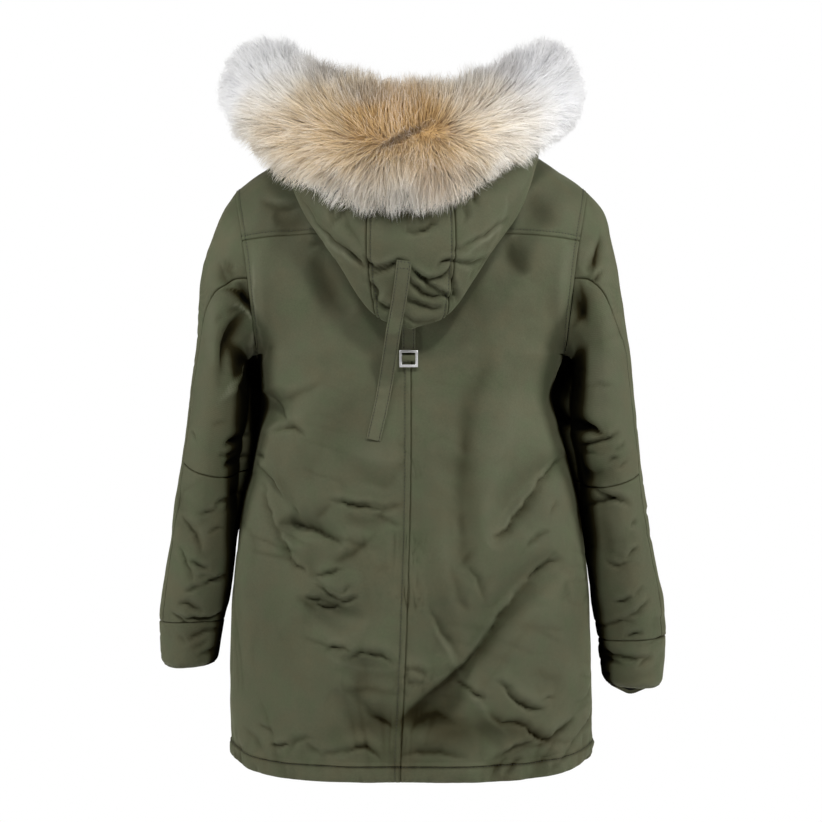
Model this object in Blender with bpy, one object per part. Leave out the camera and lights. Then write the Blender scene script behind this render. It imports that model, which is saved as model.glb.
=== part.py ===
# Fur trimmed parka, filled out as if worn and hollow inside.
# Metres, +Z up. The front faces -Y, so the wearer's left side is at +X.
# The origin is between the shoulders, at the height where they carry the coat.
# Tables and sizes are in millimetres and are scaled by MM where they are read.
import math

import bmesh
import bpy
import numpy as np

MM = 0.001

# Walls and seams
CLOTH_WALL = 4.5          # shell, padding and lining together
SEAM_GAP = 0.3
WEBBING = 2.0             # strap and storm flap
TAB_THICKNESS = 1.5
SEAT_GAP = 0.4            # clearance under a piece that lies on a panel
SLOT_SPARE = 1.5          # room round the hood's rim inside the fur
SLOT_START = 0.3          # where along the hood the slot may start
LONGEST_MITRE = 1.5       # limit on a wall's length at a folded seam, in walls

# Body, a row for each level, from the hem up to the underarm
HEM_HEIGHT = -768
UNDERARM_HEIGHT = -250
BODY_COLUMNS = ("height", "left_width", "right_width", "back_depth", "front_depth", "squareness")
BODY_LEVELS = [
    (-768, 232, 234, 128, 124, 2.5),
    (-700, 236, 236, 130, 126, 2.5),
    (-620, 235, 234, 130, 127, 2.5),
    (-517, 229, 228, 129, 126, 2.5),
    (-452, 221, 220, 127, 124, 2.4),
    (-386, 207, 205, 124, 122, 2.4),
    (-347, 200, 194, 122, 121, 2.4),
    (-300, 196, 184, 121, 120, 2.4),
    (-250, 200, 200, 123, 122, 2.4),
]
BACK_HEM_DROP = 17
FRONT_HEM_DROP = 6
HEM_BAND = 22             # height of the turned up hem
HEM_RELIEF = 1.2

# Chest and shoulders
YOKE_HEIGHT = -99
YOKE_ANGLE = 70           # place of the yoke seam on the armhole, from the shoulder point
CHEST_SQUARENESS = 2.4
BACK_YOKE_DEPTH = 119
FRONT_YOKE_DEPTH = 112
NECK_HALF_WIDTH = 85
BACK_NECK_DEPTH = 85
FRONT_NECK_DEPTH = 100
NECK_SIDE_HEIGHT = 45
BACK_NECK_DROP = 23
FRONT_NECK_DROP = 80
SHOULDER_FALL = 81        # from the neck to the shoulder point
NECK_SHARE = 0.45         # part of a panel's width that ends in the neckline
SHOULDER_FULLNESS = 0.78

# Sleeves, a row for each ring from the armhole to the cuff's edge
SLEEVE_COLUMNS = ("outer_x", "outer_z", "inner_x", "inner_z", "middle_y", "half_depth",
                  "back_seam", "hollow", "press")
LEFT_SLEEVE_RINGS = [
    (229, -36, 200, -250, 0, 85, 96, 6, 0),
    (247, -63, 206, -251, 0, 87, 89, 5, 0),
    (259, -95, 211, -255, 0, 89, 81, 3, 3),
    (270, -130, 213, -264, 0, 89, 70, 1, 12),
    (276, -180, 213, -280, 0, 88, 54, 0, 28),
    (281, -235, 212, -303, 0, 85, 39, 0, 31),
    (289, -300, 215, -335, 0, 81, 35, 0, 32),
    (295, -350, 221, -365, -1, 77, 35, 0, 35),
    (302, -405, 226, -405, -3, 73, 35, 0, 31),
    (312, -455, 229, -455, -8, 70, 35, 0, 19),
    (321, -510, 231, -510, -15, 66, 35, 0, 0),
    (329, -565, 239, -562, -24, 62, 35, 0, 0),
    (333, -598, 247, -597, -30, 59, 35, 0, 0),
    (331, -662, 258, -660, -38, 54, 35, 0, 0),
]
RIGHT_SLEEVE_RINGS = [
    (229, -36, 200, -250, 0, 85, 96, 6, 0),
    (250, -63, 206, -251, 0, 87, 89, 5, 0),
    (260, -97, 210, -255, 0, 89, 81, 3, 3),
    (270, -140, 212, -265, 0, 89, 70, 1, 14),
    (277, -195, 211, -283, 0, 88, 54, 0, 36),
    (284, -250, 209, -308, 0, 85, 40, 0, 42),
    (291, -312, 209, -345, 0, 81, 36, 0, 32),
    (298, -368, 216, -380, -1, 77, 35, 0, 28),
    (304, -418, 222, -418, -3, 73, 35, 0, 24),
    (312, -472, 228, -472, -8, 70, 35, 0, 17),
    (323, -530, 233, -530, -15, 66, 35, 0, 0),
    (334, -585, 242, -583, -24, 62, 35, 0, 0),
    (338, -618, 248, -622, -30, 59, 35, 0, 0),
    (334, -688, 256, -686, -38, 54, 35, 0, 0),
]
PRESS_FORM = 1.54         # brings the fullest place of the press to 1
FRONT_SEAM_ANGLE = 230
ELBOW_RING = 7.7
ELBOW_BOW = 0.35          # how far the elbow seam bows down, in rings
CUFF_RING = 12
LAST_RING = 13
RIGHT_CUFF_TILT = 22      # how much lower the right cuff's edge hangs in front

# Hood, a row for each direction round the neck, from the centre back to the centre front.
# The cloth rises from the neckline, rolls over, lies on the back, folds and comes up to the fur.
HOOD_COLUMNS = ("angle", "roll_r", "roll_z", "lay_r", "lay_z", "fold_r", "fold_z",
                "belly_r", "belly_z", "rim_r", "rim_z")
HOOD_SECTIONS = [
    (0, 96, 34, 131, -70, 166, -222, 206, -140, 177, -5),
    (17, 97, 36, 132, -65, 171, -200, 208, -128, 178, 0),
    (32, 99, 40, 135, -45, 180, -132, 210, -85, 180, 14),
    (46, 101, 46, 141, -14, 188, -70, 207, -35, 182, 38),
    (56, 102, 50, 132, 20, 174, -16, 194, 8, 182, 56),
    (66, 103, 54, 130, 44, 156, 30, 176, 40, 182, 70),
    (90, 98, 60, 118, 60, 138, 60, 158, 68, 178, 92),
    (114, 98, 48, 110, 48, 126, 50, 146, 66, 168, 90),
    (134, 100, 24, 108, 26, 120, 32, 136, 48, 154, 72),
    (150, 103, 4, 108, 8, 116, 14, 128, 28, 144, 48),
    (180, 106, -24, 110, -18, 116, -12, 124, -2, 136, 12),
]
GUSSET_ANGLE = 15

# Fur ruff, a row for each direction round the neck: an oval section out to the hair's tips
FUR_COLUMNS = ("angle", "centre_r", "centre_z", "half_long", "half_short", "lean")
FUR_SECTIONS = [
    (0, 178, 1, 106, 46, 29),
    (17, 179, 6, 104, 47, 28),
    (32, 181, 22, 98, 50, 26),
    (48, 185, 44, 91, 54, 22),
    (66, 186, 74, 82, 57, 14),
    (90, 182, 98, 68, 58, 0),
    (114, 174, 98, 62, 56, -10),
    (134, 160, 78, 56, 48, -15),
    (150, 149, 54, 50, 43, -15),
    (172, 141, 22, 44, 36, -10),
]
FUR_END_ANGLE = 172
FUR_SIDE_SHIFT = 4        # the wings sit a little to the wearer's left
FUR_SIDE_SWELL = 0.15     # and the left one is fuller than the right

# Main folds of the back: two ends, the bow between them, reach to each side, and height.
# A height below zero is a trough.
FOLD_COLUMNS = ("x1", "z1", "x2", "z2", "bow", "reach", "height")
BACK_FOLDS = [
    (-175, -515, -65, -650, 10, 30, -9),
    (-65, -650, 5, -712, -6, 26, -8),
    (-185, -540, -85, -672, 10, 26, 6),
    (-190, -385, -105, -480, 8, 28, -6),
    (-60, -565, -12, -640, 0, 30, -4),
    (165, -465, 90, -487, -5, 20, -6),
    (190, -405, 150, -505, -8, 22, -5),
    (125, -560, 60, -585, 4, 20, -6),
    (85, -640, 25, -655, 0, 20, -5),
    (185, -300, 165, -345, -4, 22, -5),
    (95, -680, 20, -725, 5, 24, -5),
]

# Strap: centre line from the sewn box on the hood to the free end, in the back view
STRAP_WIDTH = 18.5
STRAP_POINTS = [(8, -141), (11, -165), (15, -190), (20, -216), (25, -246), (30, -276), (36, -310), (47, -358)]
STRAP_DROP = (-205, -300)  # heights where it leaves the hood and reaches the back

# Tab and slider
TAB_WIDTH = 16.8
TAB_TOP = -176
SLIDER_CENTRE = (3, -257)
SLIDER_WIDTH = 23
SLIDER_HEIGHT = 21
SLIDER_BAR = 2.4
SLIDER_BEVEL = 0.5

# Storm flap over the front closure
FLAP_EDGES = (-20, 40)

# Samples along the surfaces
NECK_ANGLES = (0, 15, 30, 46, 66, 90)
SHOULDER_STEPS = 4
BODY_ROWS = 14
BACK_ARMHOLE = (180, 160, 140, 120, 96, 83, 70)
YOKE_ARMHOLE = (70, 52, 35, 17, 0)
FRONT_ARMHOLE = (180, 200, 215, 230, 250, 270, 290, 308, 325, 343, 360)
SLEEVE_ROWS = (0, 0.5, 1, 1.5, 2, 2.5, 3, 3.5, 4, 5, 6, 7, ELBOW_RING)
FOREARM_ROWS = (ELBOW_RING, 8.5, 9.5, 10.7, CUFF_RING)
CUFF_ROWS = (CUFF_RING, 12.5, LAST_RING)
HOOD_ROWS = 15
FUR_SECTION_SIDES = 14


def smooth_value(stations, values, at):
    """Value of a smooth curve through the stations, held level past both ends."""
    at = min(max(at, stations[0]), stations[-1])
    index = 0
    while index < len(stations) - 2 and stations[index + 1] <= at:
        index += 1

    def slope(i):
        before, after = max(i - 1, 0), min(i + 1, len(stations) - 1)
        rise = [(values[k + 1] - values[k]) / (stations[k + 1] - stations[k]) for k in range(before, after)]
        if len(rise) == 1:
            return rise[0]
        first, second = stations[i] - stations[before], stations[after] - stations[i]
        return (rise[0] * second + rise[1] * first) / (first + second)

    span = stations[index + 1] - stations[index]
    t = (at - stations[index]) / span
    start, end = values[index], values[index + 1]
    lead_in, lead_out = slope(index) * span, slope(index + 1) * span
    return (start * (2 * t**3 - 3 * t**2 + 1) + lead_in * (t**3 - 2 * t**2 + t)
            + end * (3 * t**2 - 2 * t**3) + lead_out * (t**3 - t**2))


def table_row(columns, rows, at, by_index=False):
    """Row of a table at a place between its rows, as a dictionary by column name."""
    stations = range(len(rows)) if by_index else [row[0] for row in rows]
    return {name: smooth_value(stations, [row[i] for row in rows], at)
            for i, name in enumerate(columns)}


def mix(start, end, share):
    return start + (end - start) * share


def sleeve_point(side, angle, ring):
    """Point of the sleeve, by the angle round it from its outer line through its back."""
    rings = LEFT_SLEEVE_RINGS if side > 0 else RIGHT_SLEEVE_RINGS
    row = table_row(SLEEVE_COLUMNS, rings, ring, by_index=True)
    turn = math.radians(angle)
    across, round_back = math.cos(turn), math.sin(turn)
    x = mix(row["inner_x"], row["outer_x"], (1 + across) / 2) - row["hollow"] * round_back**2
    # in front the sleeve presses in against the body
    x -= row["press"] * PRESS_FORM * max(0, -round_back) * (1 - across) / 2
    y = row["middle_y"] + row["half_depth"] * round_back
    z = mix(row["inner_z"], row["outer_z"], (1 + across) / 2)
    if side < 0:
        z -= RIGHT_CUFF_TILT * max(0, ring - CUFF_RING) * max(0, -round_back)**1.5
    return np.array([side * x, y, z])


def armhole_point(side, angle):
    return sleeve_point(side, angle, 0)


def neckline_point(side, face, angle):
    """Point of the neckline, by the angle from its centre to the side of the neck."""
    turn = math.radians(angle)
    depth = BACK_NECK_DEPTH if face > 0 else FRONT_NECK_DEPTH
    drop = BACK_NECK_DROP if face > 0 else FRONT_NECK_DROP
    return np.array([side * NECK_HALF_WIDTH * math.sin(turn),
                     face * depth * math.cos(turn),
                     NECK_SIDE_HEIGHT - drop * math.cos(turn)**2])


def shoulder_line(side, share):
    """Point of the shoulder seam, from the neck to the shoulder point."""
    end = armhole_point(side, 0)
    x = mix(NECK_HALF_WIDTH, abs(end[0]), share)
    return np.array([side * x, 0, NECK_SIDE_HEIGHT - SHOULDER_FALL * share**1.5])


def top_line(side, face, u):
    if u <= NECK_SHARE:
        return neckline_point(side, face, 90 * u / NECK_SHARE)
    return shoulder_line(side, (u - NECK_SHARE) / (1 - NECK_SHARE))


def quarter_section(u, edge, depth, squareness, centre_height):
    """Point of a rounded quarter section that starts at the centre line and ends at edge."""
    edge_share = abs(edge[1]) / depth
    last_turn = math.acos(min(edge_share, 1) ** (squareness / 2))
    power = 2 / squareness
    full_width = abs(edge[0]) / math.sin(last_turn) ** power
    turn = u * last_turn
    x = full_width * math.sin(turn) ** power
    y = depth * max(math.cos(turn), 0) ** power
    z = mix(centre_height, edge[2], (x / abs(edge[0]))**4)
    return x, y, z


def body_point(side, face, u, v):
    """Point between the hem at v = 0 and the underarm at v = 1."""
    height = mix(HEM_HEIGHT, UNDERARM_HEIGHT, v)
    row = table_row(BODY_COLUMNS, BODY_LEVELS, height)
    width = row["left_width"] if side > 0 else row["right_width"]
    depth = row["back_depth"] if face > 0 else row["front_depth"]
    drop = (BACK_HEM_DROP if face > 0 else FRONT_HEM_DROP) * (1 - v)**3
    edge = np.array([width, 0, height])
    x, y, z = quarter_section(u, edge, depth, row["squareness"], height)
    z -= drop * (1 - (x / width)**6)
    return np.array([side * x, face * y, z])


def chest_point(side, face, u, share):
    """Point between the underarm at share = 0 and the level of the yoke seam at share = 1."""
    angle = mix(180, YOKE_ANGLE, share)
    edge = armhole_point(side, angle)
    low = BODY_LEVELS[-1][3 if face > 0 else 4]
    high = BACK_YOKE_DEPTH if face > 0 else FRONT_YOKE_DEPTH
    centre_height = mix(UNDERARM_HEIGHT, YOKE_HEIGHT, share)
    x, y, z = quarter_section(u, edge, mix(low, high, share), CHEST_SQUARENESS, centre_height)
    return np.array([side * x, face * y, z])


def shoulder_point(side, face, u, share):
    """Point between the level of the yoke seam and the neckline or shoulder seam."""
    def arch(u):
        start = chest_point(side, face, u, 1)
        end = top_line(side, face, u)
        middle = np.array([mix(start[0], end[0], 0.5), mix(start[1], end[1], 0.06),
                           mix(start[2], end[2], SHOULDER_FULLNESS)])
        return (1 - share)**2 * start + 2 * share * (1 - share) * middle + share**2 * end

    edge = armhole_point(side, YOKE_ANGLE * (1 - share))
    edge[1] *= face
    return arch(u) + u**4 * (edge - arch(1))


def fold_height(x, z):
    """Sum of the back's folds at a place in the back view."""
    total = 0
    for fold in BACK_FOLDS:
        row = dict(zip(FOLD_COLUMNS, fold))
        start = np.array([row["x1"], row["z1"]])
        run = np.array([row["x2"], row["z2"]]) - start
        length = np.linalg.norm(run)
        run = run / length
        offset = np.array([x, z]) - start
        along = offset @ run / length
        bow = row["bow"] * 4 * along * (1 - along)
        across = (offset @ np.array([-run[1], run[0]]) - bow) / row["reach"]
        past_end = max(0, -along, along - 1) * length / row["reach"]
        total += row["height"] * math.exp(-across**2 - past_end**2)
    return total


def torso_point(side, face, u, v):
    """Point of the coat's body: u from the centre to the side, v from the hem (0) up past the
    underarm (1) and the yoke seam (2) to the neckline and shoulder seam (3)."""
    if v <= 1:
        point = body_point(side, face, u, v)
    elif v <= 2:
        point = chest_point(side, face, u, v - 1)
    else:
        point = shoulder_point(side, face, u, v - 2)
    outward = np.array([point[0] * 0.3, point[1], 0])
    reach = np.linalg.norm(outward)
    if reach > 0 and v < 2:
        height = fold_height(point[0], point[2]) * min(1, 4 * (1 - u)) if face > 0 else 0
        if v * (UNDERARM_HEIGHT - HEM_HEIGHT) < HEM_BAND:
            height += HEM_RELIEF
        point = point + outward / reach * height
    return point


def find_between(low, high, wanted, measure):
    """Argument between low and high at which a rising measure reaches the wanted value."""
    for _ in range(24):
        middle = (low + high) / 2
        if measure(middle) < wanted:
            low = middle
        else:
            high = middle
    return (low + high) / 2


def torso_at(face, x, v):
    """Point of the body at a distance x from its centre line."""
    side = 1 if x >= 0 else -1
    u = find_between(0, 1, abs(x), lambda u: abs(torso_point(side, face, u, v)[0]))
    return torso_point(side, face, u, v)


def back_at(x, z):
    """Point of the back panels at a place in the back view."""
    v = find_between(0, 2, z, lambda v: torso_at(1, x, v)[2])
    return torso_at(1, x, v)


def hood_point(angle, share):
    """Point of the hood, from the neckline at share = 0 to the rim inside the fur at 1."""
    side = 1 if angle >= 0 else -1
    turn = abs(angle)
    face = 1 if turn <= 90 else -1
    neck = neckline_point(side, face, turn if face > 0 else 180 - turn)
    row = table_row(HOOD_COLUMNS, HOOD_SECTIONS, turn)
    names = ("roll", "lay", "fold", "belly", "rim")
    radii = [math.hypot(neck[0], neck[1])] + [row[name + "_r"] for name in names]
    heights = [neck[2]] + [row[name + "_z"] for name in names]
    neck_turn = math.atan2(abs(neck[0]), neck[1])
    lengths = np.hypot(np.diff(radii), np.diff(heights))
    stations = np.concatenate([[0], np.cumsum(lengths)]) / lengths.sum()
    radius = smooth_value(stations, radii, share)
    height = smooth_value(stations, heights, share)
    direction = mix(neck_turn, math.radians(turn), min(1, share * 3))
    return np.array([side * radius * math.sin(direction), radius * math.cos(direction), height])


def fur_point(angle, section_angle, swell=1):
    """Point of the ruff's outer form, out at the tips of the hair."""
    row = table_row(FUR_COLUMNS, FUR_SECTIONS, abs(angle))
    turn, lean = math.radians(angle), math.radians(row["lean"])
    around = math.radians(section_angle)
    down = swell * row["half_long"] * math.cos(around)
    out = swell * row["half_short"] * math.sin(around) * (1 + FUR_SIDE_SWELL * math.sin(turn))
    radius = row["centre_r"] + down * math.sin(lean) + out * math.cos(lean)
    height = row["centre_z"] - down * math.cos(lean) + out * math.sin(lean)
    shift = FUR_SIDE_SHIFT * abs(math.sin(turn))
    return np.array([radius * math.sin(turn) + shift, radius * math.cos(turn), height])


def grid_of(surface, rows, columns):
    return np.array([[surface(column, row) for column in columns] for row in rows])


def grid_normals(points, closed):
    """Sum of the neighbouring faces' normals at each point of a grid."""
    after = np.roll(points, -1, axis=1) if closed else points[:, 1:]
    here = points if closed else points[:, :-1]
    first = after[1:] - here[:-1]
    second = here[1:] - after[:-1]
    faces = np.cross(first, second) / 2
    sums = np.zeros_like(points)
    for shift in (0, 1):
        padded = np.zeros_like(points)
        width = faces.shape[1]
        if closed:
            padded[shift:shift + len(faces)] = faces + np.roll(faces, 1, axis=1)
        else:
            padded[shift:shift + len(faces), :width] += faces
            padded[shift:shift + len(faces), 1:width + 1] += faces
        sums += padded
    return sums


def place_key(point):
    return tuple(np.round(point * 100).astype(int))


def unit(vectors):
    return vectors / np.maximum(np.linalg.norm(vectors, axis=-1, keepdims=True), 1e-9)


class Panel:
    """A cloth piece: a grid of outer points with a wall behind it."""

    def __init__(self, name, points, flip, closed=False, wall=CLOTH_WALL):
        self.name = name
        self.points = points
        self.flip = flip
        self.closed = closed
        self.wall = wall
        self.normals = unit(grid_normals(points, closed)) * (-1 if flip else 1)

    def wall_directions(self, shared):
        """Directions in which the wall goes inwards, the same for all pieces at a seam."""
        directions = -self.normals.copy()
        rows, columns = self.points.shape[:2]
        for i in range(rows):
            for j in range(columns):
                others = shared[place_key(self.points[i, j])]
                if len(others) > 1:
                    mean = unit(np.sum(others, axis=0))
                    square = np.mean([mean @ other for other in others])
                    directions[i, j] = -mean * min(1 / max(square, 0.01), LONGEST_MITRE)
        return directions

    def open_seams(self, outer, inner):
        """Moves the borders in by half a seam's gap."""
        pull = np.zeros_like(outer)
        pull[0] += unit(outer[1] - outer[0])
        pull[-1] += unit(outer[-2] - outer[-1])
        if not self.closed:
            pull[:, 0] += unit(outer[:, 1] - outer[:, 0])
            pull[:, -1] += unit(outer[:, -2] - outer[:, -1])
        return outer + pull * SEAM_GAP / 2, inner + pull * SEAM_GAP / 2

    def build(self, material, shared):
        directions = self.wall_directions(shared)
        outer, inner = self.open_seams(self.points, self.points + directions * self.wall)
        return slab_object(self.name, outer, inner, self.flip, self.closed, material)


def slab_object(name, outer, inner, flip, closed, material):
    """Closed solid between two grids of points."""
    rows, columns = outer.shape[:2]
    form = bmesh.new()
    front = [[form.verts.new(point * MM) for point in line] for line in outer]
    back = [[form.verts.new(point * MM) for point in line] for line in inner]

    def face(corners):
        for k in range(1, len(corners) - 1):
            triangle = [corners[0], corners[k], corners[k + 1]]
            form.faces.new(triangle[::-1] if flip else triangle)

    def edge_face(start, end):
        """Side of the wall, split the same way on both pieces that meet there."""
        (i, j), (k, m) = start, end
        if tuple(outer[i, j]) > tuple(outer[k, m]):
            face([front[i][j], front[k][m], back[i][j]])
            face([front[k][m], back[k][m], back[i][j]])
        else:
            face([front[i][j], front[k][m], back[k][m]])
            face([front[i][j], back[k][m], back[i][j]])

    steps = columns if closed else columns - 1
    for i in range(rows - 1):
        for j in range(steps):
            k = (j + 1) % columns
            face([front[i][j], front[i][k], front[i + 1][k], front[i + 1][j]])
            face([back[i][j], back[i + 1][j], back[i + 1][k], back[i][k]])
    last_row, last_column = rows - 1, columns - 1
    for j in range(steps):
        k = (j + 1) % columns
        edge_face((0, k), (0, j))
        edge_face((last_row, j), (last_row, k))
    if not closed:
        for i in range(rows - 1):
            edge_face((i, 0), (i + 1, 0))
            edge_face((i + 1, last_column), (i, last_column))
    return object_from(form, name, material)


def object_from(form, name, material):
    mesh = bpy.data.meshes.new(name)
    form.to_mesh(mesh)
    form.free()
    mesh.shade_smooth()
    mesh.set_sharp_from_angle(angle=math.radians(50))
    mesh.materials.append(material)
    piece = bpy.data.objects.new(name, mesh)
    bpy.context.scene.collection.objects.link(piece)
    return piece


def make_material(name, colour, roughness, metallic=0.0):
    material = bpy.data.materials.new(name)
    material.use_nodes = True
    shader = material.node_tree.nodes["Principled BSDF"]
    shader.inputs["Base Color"].default_value = (*colour, 1)
    shader.inputs["Roughness"].default_value = roughness
    shader.inputs["Metallic"].default_value = metallic
    return material


def side_name(side):
    return "left" if side > 0 else "right"


def panel_columns():
    """Places across a body panel: neckline samples, then steps along the shoulder."""
    neck = [NECK_SHARE * angle / 90 for angle in NECK_ANGLES]
    shoulder = [mix(NECK_SHARE, 1, step / SHOULDER_STEPS) for step in range(1, SHOULDER_STEPS + 1)]
    return neck + shoulder


def level_of(angle):
    """Height parameter of the body at a place on the armhole."""
    if angle > YOKE_ANGLE:
        return 1 + (180 - angle) / (180 - YOKE_ANGLE)
    return 2 + (YOKE_ANGLE - angle) / YOKE_ANGLE


def body_rows():
    band = HEM_BAND / (UNDERARM_HEIGHT - HEM_HEIGHT)
    edge = 0.06 * band
    return [0, band - edge, band + edge] + [mix(band, 1, step / BODY_ROWS) for step in range(1, BODY_ROWS + 1)]


def body_panels():
    columns = panel_columns()
    panels = []
    for side in (1, -1):
        rows = body_rows() + [level_of(angle) for angle in BACK_ARMHOLE[1:]]
        points = grid_of(lambda u, v: torso_point(side, 1, u, v), rows, columns)
        panels.append(Panel("back_" + side_name(side), points, flip=side > 0))
        rows = body_rows() + [level_of(360 - angle) for angle in FRONT_ARMHOLE[1:]]
        points = grid_of(lambda u, v: torso_point(side, -1, u, v), rows, columns)
        panels.append(Panel("front_" + side_name(side), points, flip=side < 0))
    rows = [level_of(angle) for angle in YOKE_ARMHOLE]
    across = [-u for u in columns[:0:-1]] + columns
    points = grid_of(lambda u, v: torso_point(1 if u >= 0 else -1, 1, abs(u), v), rows, across)
    panels.append(Panel("back_yoke", points, flip=True))
    return panels


def sleeve_panels(side):
    def seam_angle(ring):
        rings = LEFT_SLEEVE_RINGS if side > 0 else RIGHT_SLEEVE_RINGS
        return table_row(SLEEVE_COLUMNS, rings, ring, by_index=True)["back_seam"]

    def top_piece(share, ring):
        return sleeve_point(side, mix(FRONT_SEAM_ANGLE - 360, seam_angle(ring), share), ring)

    def under_piece(share, ring):
        bow = ELBOW_BOW * math.exp(-(ring - ELBOW_RING)**2) * math.sin(math.pi * share)
        bow *= min(1, ring) * min(1, CUFF_RING - ring)
        return sleeve_point(side, mix(seam_angle(ring), FRONT_SEAM_ANGLE, share), ring + bow)

    armhole_seam = seam_angle(0)
    top_start = FRONT_SEAM_ANGLE - 360
    front_part = [angle - 360 for angle in FRONT_ARMHOLE if angle >= FRONT_SEAM_ANGLE]
    back_part = [angle for angle in YOKE_ARMHOLE[-2::-1]] + [angle for angle in BACK_ARMHOLE[-2::-1]
                                                            if angle <= armhole_seam]
    top_shares = [(angle - top_start) / (armhole_seam - top_start) for angle in front_part + back_part]
    under_angles = [angle for angle in BACK_ARMHOLE[::-1] if angle >= armhole_seam]
    under_angles += [angle for angle in FRONT_ARMHOLE[1:] if angle <= FRONT_SEAM_ANGLE]
    under_shares = [(angle - armhole_seam) / (FRONT_SEAM_ANGLE - armhole_seam) for angle in under_angles]

    name, flip = side_name(side), side > 0
    top = grid_of(top_piece, SLEEVE_ROWS + FOREARM_ROWS[1:], top_shares)
    upper = grid_of(under_piece, SLEEVE_ROWS, under_shares)
    lower = grid_of(under_piece, FOREARM_ROWS, under_shares)
    top_cuff = grid_of(top_piece, CUFF_ROWS, top_shares)
    under_cuff = grid_of(under_piece, CUFF_ROWS, under_shares)
    cuff = np.concatenate([top_cuff, under_cuff[:, 1:-1]], axis=1)
    return [Panel("sleeve_top_" + name, top, flip),
            Panel("sleeve_under_upper_" + name, upper, flip),
            Panel("sleeve_under_lower_" + name, lower, flip),
            Panel("cuff_" + name, cuff, flip, closed=True)]


def hood_rows():
    return [step / HOOD_ROWS for step in range(HOOD_ROWS + 1)]


def side_angles():
    angles = [angle for angle in NECK_ANGLES if angle >= GUSSET_ANGLE]
    return angles + [180 - angle for angle in NECK_ANGLES[-2::-1]]


def hood_panels():
    left = side_angles()
    layout = {"hood_left": left, "hood_centre": [-GUSSET_ANGLE, 0, GUSSET_ANGLE],
              "hood_right": [-angle for angle in left[::-1]]}
    return [Panel(name, grid_of(hood_point, hood_rows(), angles), flip=True)
            for name, angles in layout.items()]


def hood_cutter(material):
    """Guide that opens the slot in the fur where the hood's rim enters it."""
    left = side_angles()
    left[-1] -= 1
    angles = [-angle for angle in left[::-1]] + [0] + left
    points = grid_of(hood_point, hood_rows(), angles)
    normals = -unit(grid_normals(points, False))
    first = next(k for k, share in enumerate(hood_rows()) if share > SLOT_START)
    points, normals = points[first:], normals[first:]
    points[-1] += unit(points[-1] - points[-2]) * SLOT_SPARE
    outer = points + normals * SLOT_SPARE
    inner = points - normals * (CLOTH_WALL + SLOT_SPARE)
    cutter = slab_object("hood_slot_guide", outer, inner, True, False, material)
    cutter.hide_render = True
    cutter.display_type = "WIRE"
    return cutter


def fur_ruff(material):
    """Horseshoe roll as thick as the hair is long, round at both ends."""
    ends = [(FUR_END_ANGLE + 5.5, 0.35), (FUR_END_ANGLE + 3.5, 0.75), (FUR_END_ANGLE, 1)]
    angles = [158, 140, 122, 106, 90, 76, 62, 48, 32, 16]
    half = ends + [(angle, 1) for angle in angles]
    stations = [(-angle, swell) for angle, swell in half] + [(0, 1)] + half[::-1]
    sides = [360 * k / FUR_SECTION_SIDES for k in range(FUR_SECTION_SIDES)]
    form = bmesh.new()
    rings = [[form.verts.new(fur_point(angle, around, swell) * MM) for around in sides]
             for angle, swell in stations]
    for here, after in zip(rings, rings[1:]):
        for k in range(FUR_SECTION_SIDES):
            following = (k + 1) % FUR_SECTION_SIDES
            form.faces.new([here[k], after[k], after[following], here[following]])
    form.faces.new(rings[0])
    form.faces.new(rings[-1][::-1])
    bmesh.ops.recalc_face_normals(form, faces=form.faces)
    ruff = object_from(form, "fur_ruff", material)
    slot = ruff.modifiers.new("slot", "BOOLEAN")
    slot.operation = "DIFFERENCE"
    slot.object = hood_cutter(material)
    return ruff


def ribbon(name, centres, across, outward, width, thickness, material):
    """Flat strap along a line of centre points, its back face on that line."""
    centres, across, outward = (np.asarray(values, dtype=float) for values in (centres, across, outward))
    near = np.stack([centres - across * width / 2, centres + across * width / 2], axis=1)
    far = near + outward[:, None] * thickness
    return slab_object(name, far, near, False, False, material)


def hood_strap(material):
    """Strap sewn on the hood that falls free onto the back."""
    path = [place for place in STRAP_POINTS]
    heights = np.linspace(path[0][1], path[-1][1], 17)
    stations = [-place[1] for place in path]
    centres = []
    for height in heights:
        x = smooth_value(stations, [place[0] for place in path], -height)
        leave, land = STRAP_DROP
        on_hood = hood_depth(x, max(height, leave)) + 2 * SEAT_GAP
        on_back = back_at(x, height)[1] + 2 * SEAT_GAP
        share = min(max((leave - height) / (leave - land), 0), 1)
        ease = share**2 * (3 - 2 * share)
        centres.append([x, mix(max(on_hood, on_back), on_back, ease), height])
    centres = np.array(centres)
    along = unit(np.gradient(centres, axis=0))
    outward = unit(np.cross(np.array([1.0, 0, 0]), along))
    across = np.cross(along, outward)
    return ribbon("hood_strap", centres, across, outward, STRAP_WIDTH, WEBBING, material)


def hood_depth(x, z):
    """Depth of the hood's outer wall at a place in the back view."""
    def outer_wall(share):
        radius_side = 1 if x >= 0 else -1
        angle = find_between(0, GUSSET_ANGLE, abs(x),
                             lambda turn: abs(hood_point(turn * radius_side, share)[0]))
        return hood_point(angle * radius_side, share)

    share = find_between(0.62, 1, z, lambda share: outer_wall(share)[2])
    return outer_wall(share)[1]


def seat_of_slider():
    """Place of the slider's back face, clear of the tab behind it."""
    x, z = SLIDER_CENTRE
    seat = max(back_at(x + step, z + rise)[1] for step in (-11, 0, 11) for rise in (-10, 0, 10))
    return np.array([x, seat + SEAT_GAP * 2 + TAB_THICKNESS, z])


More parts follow.
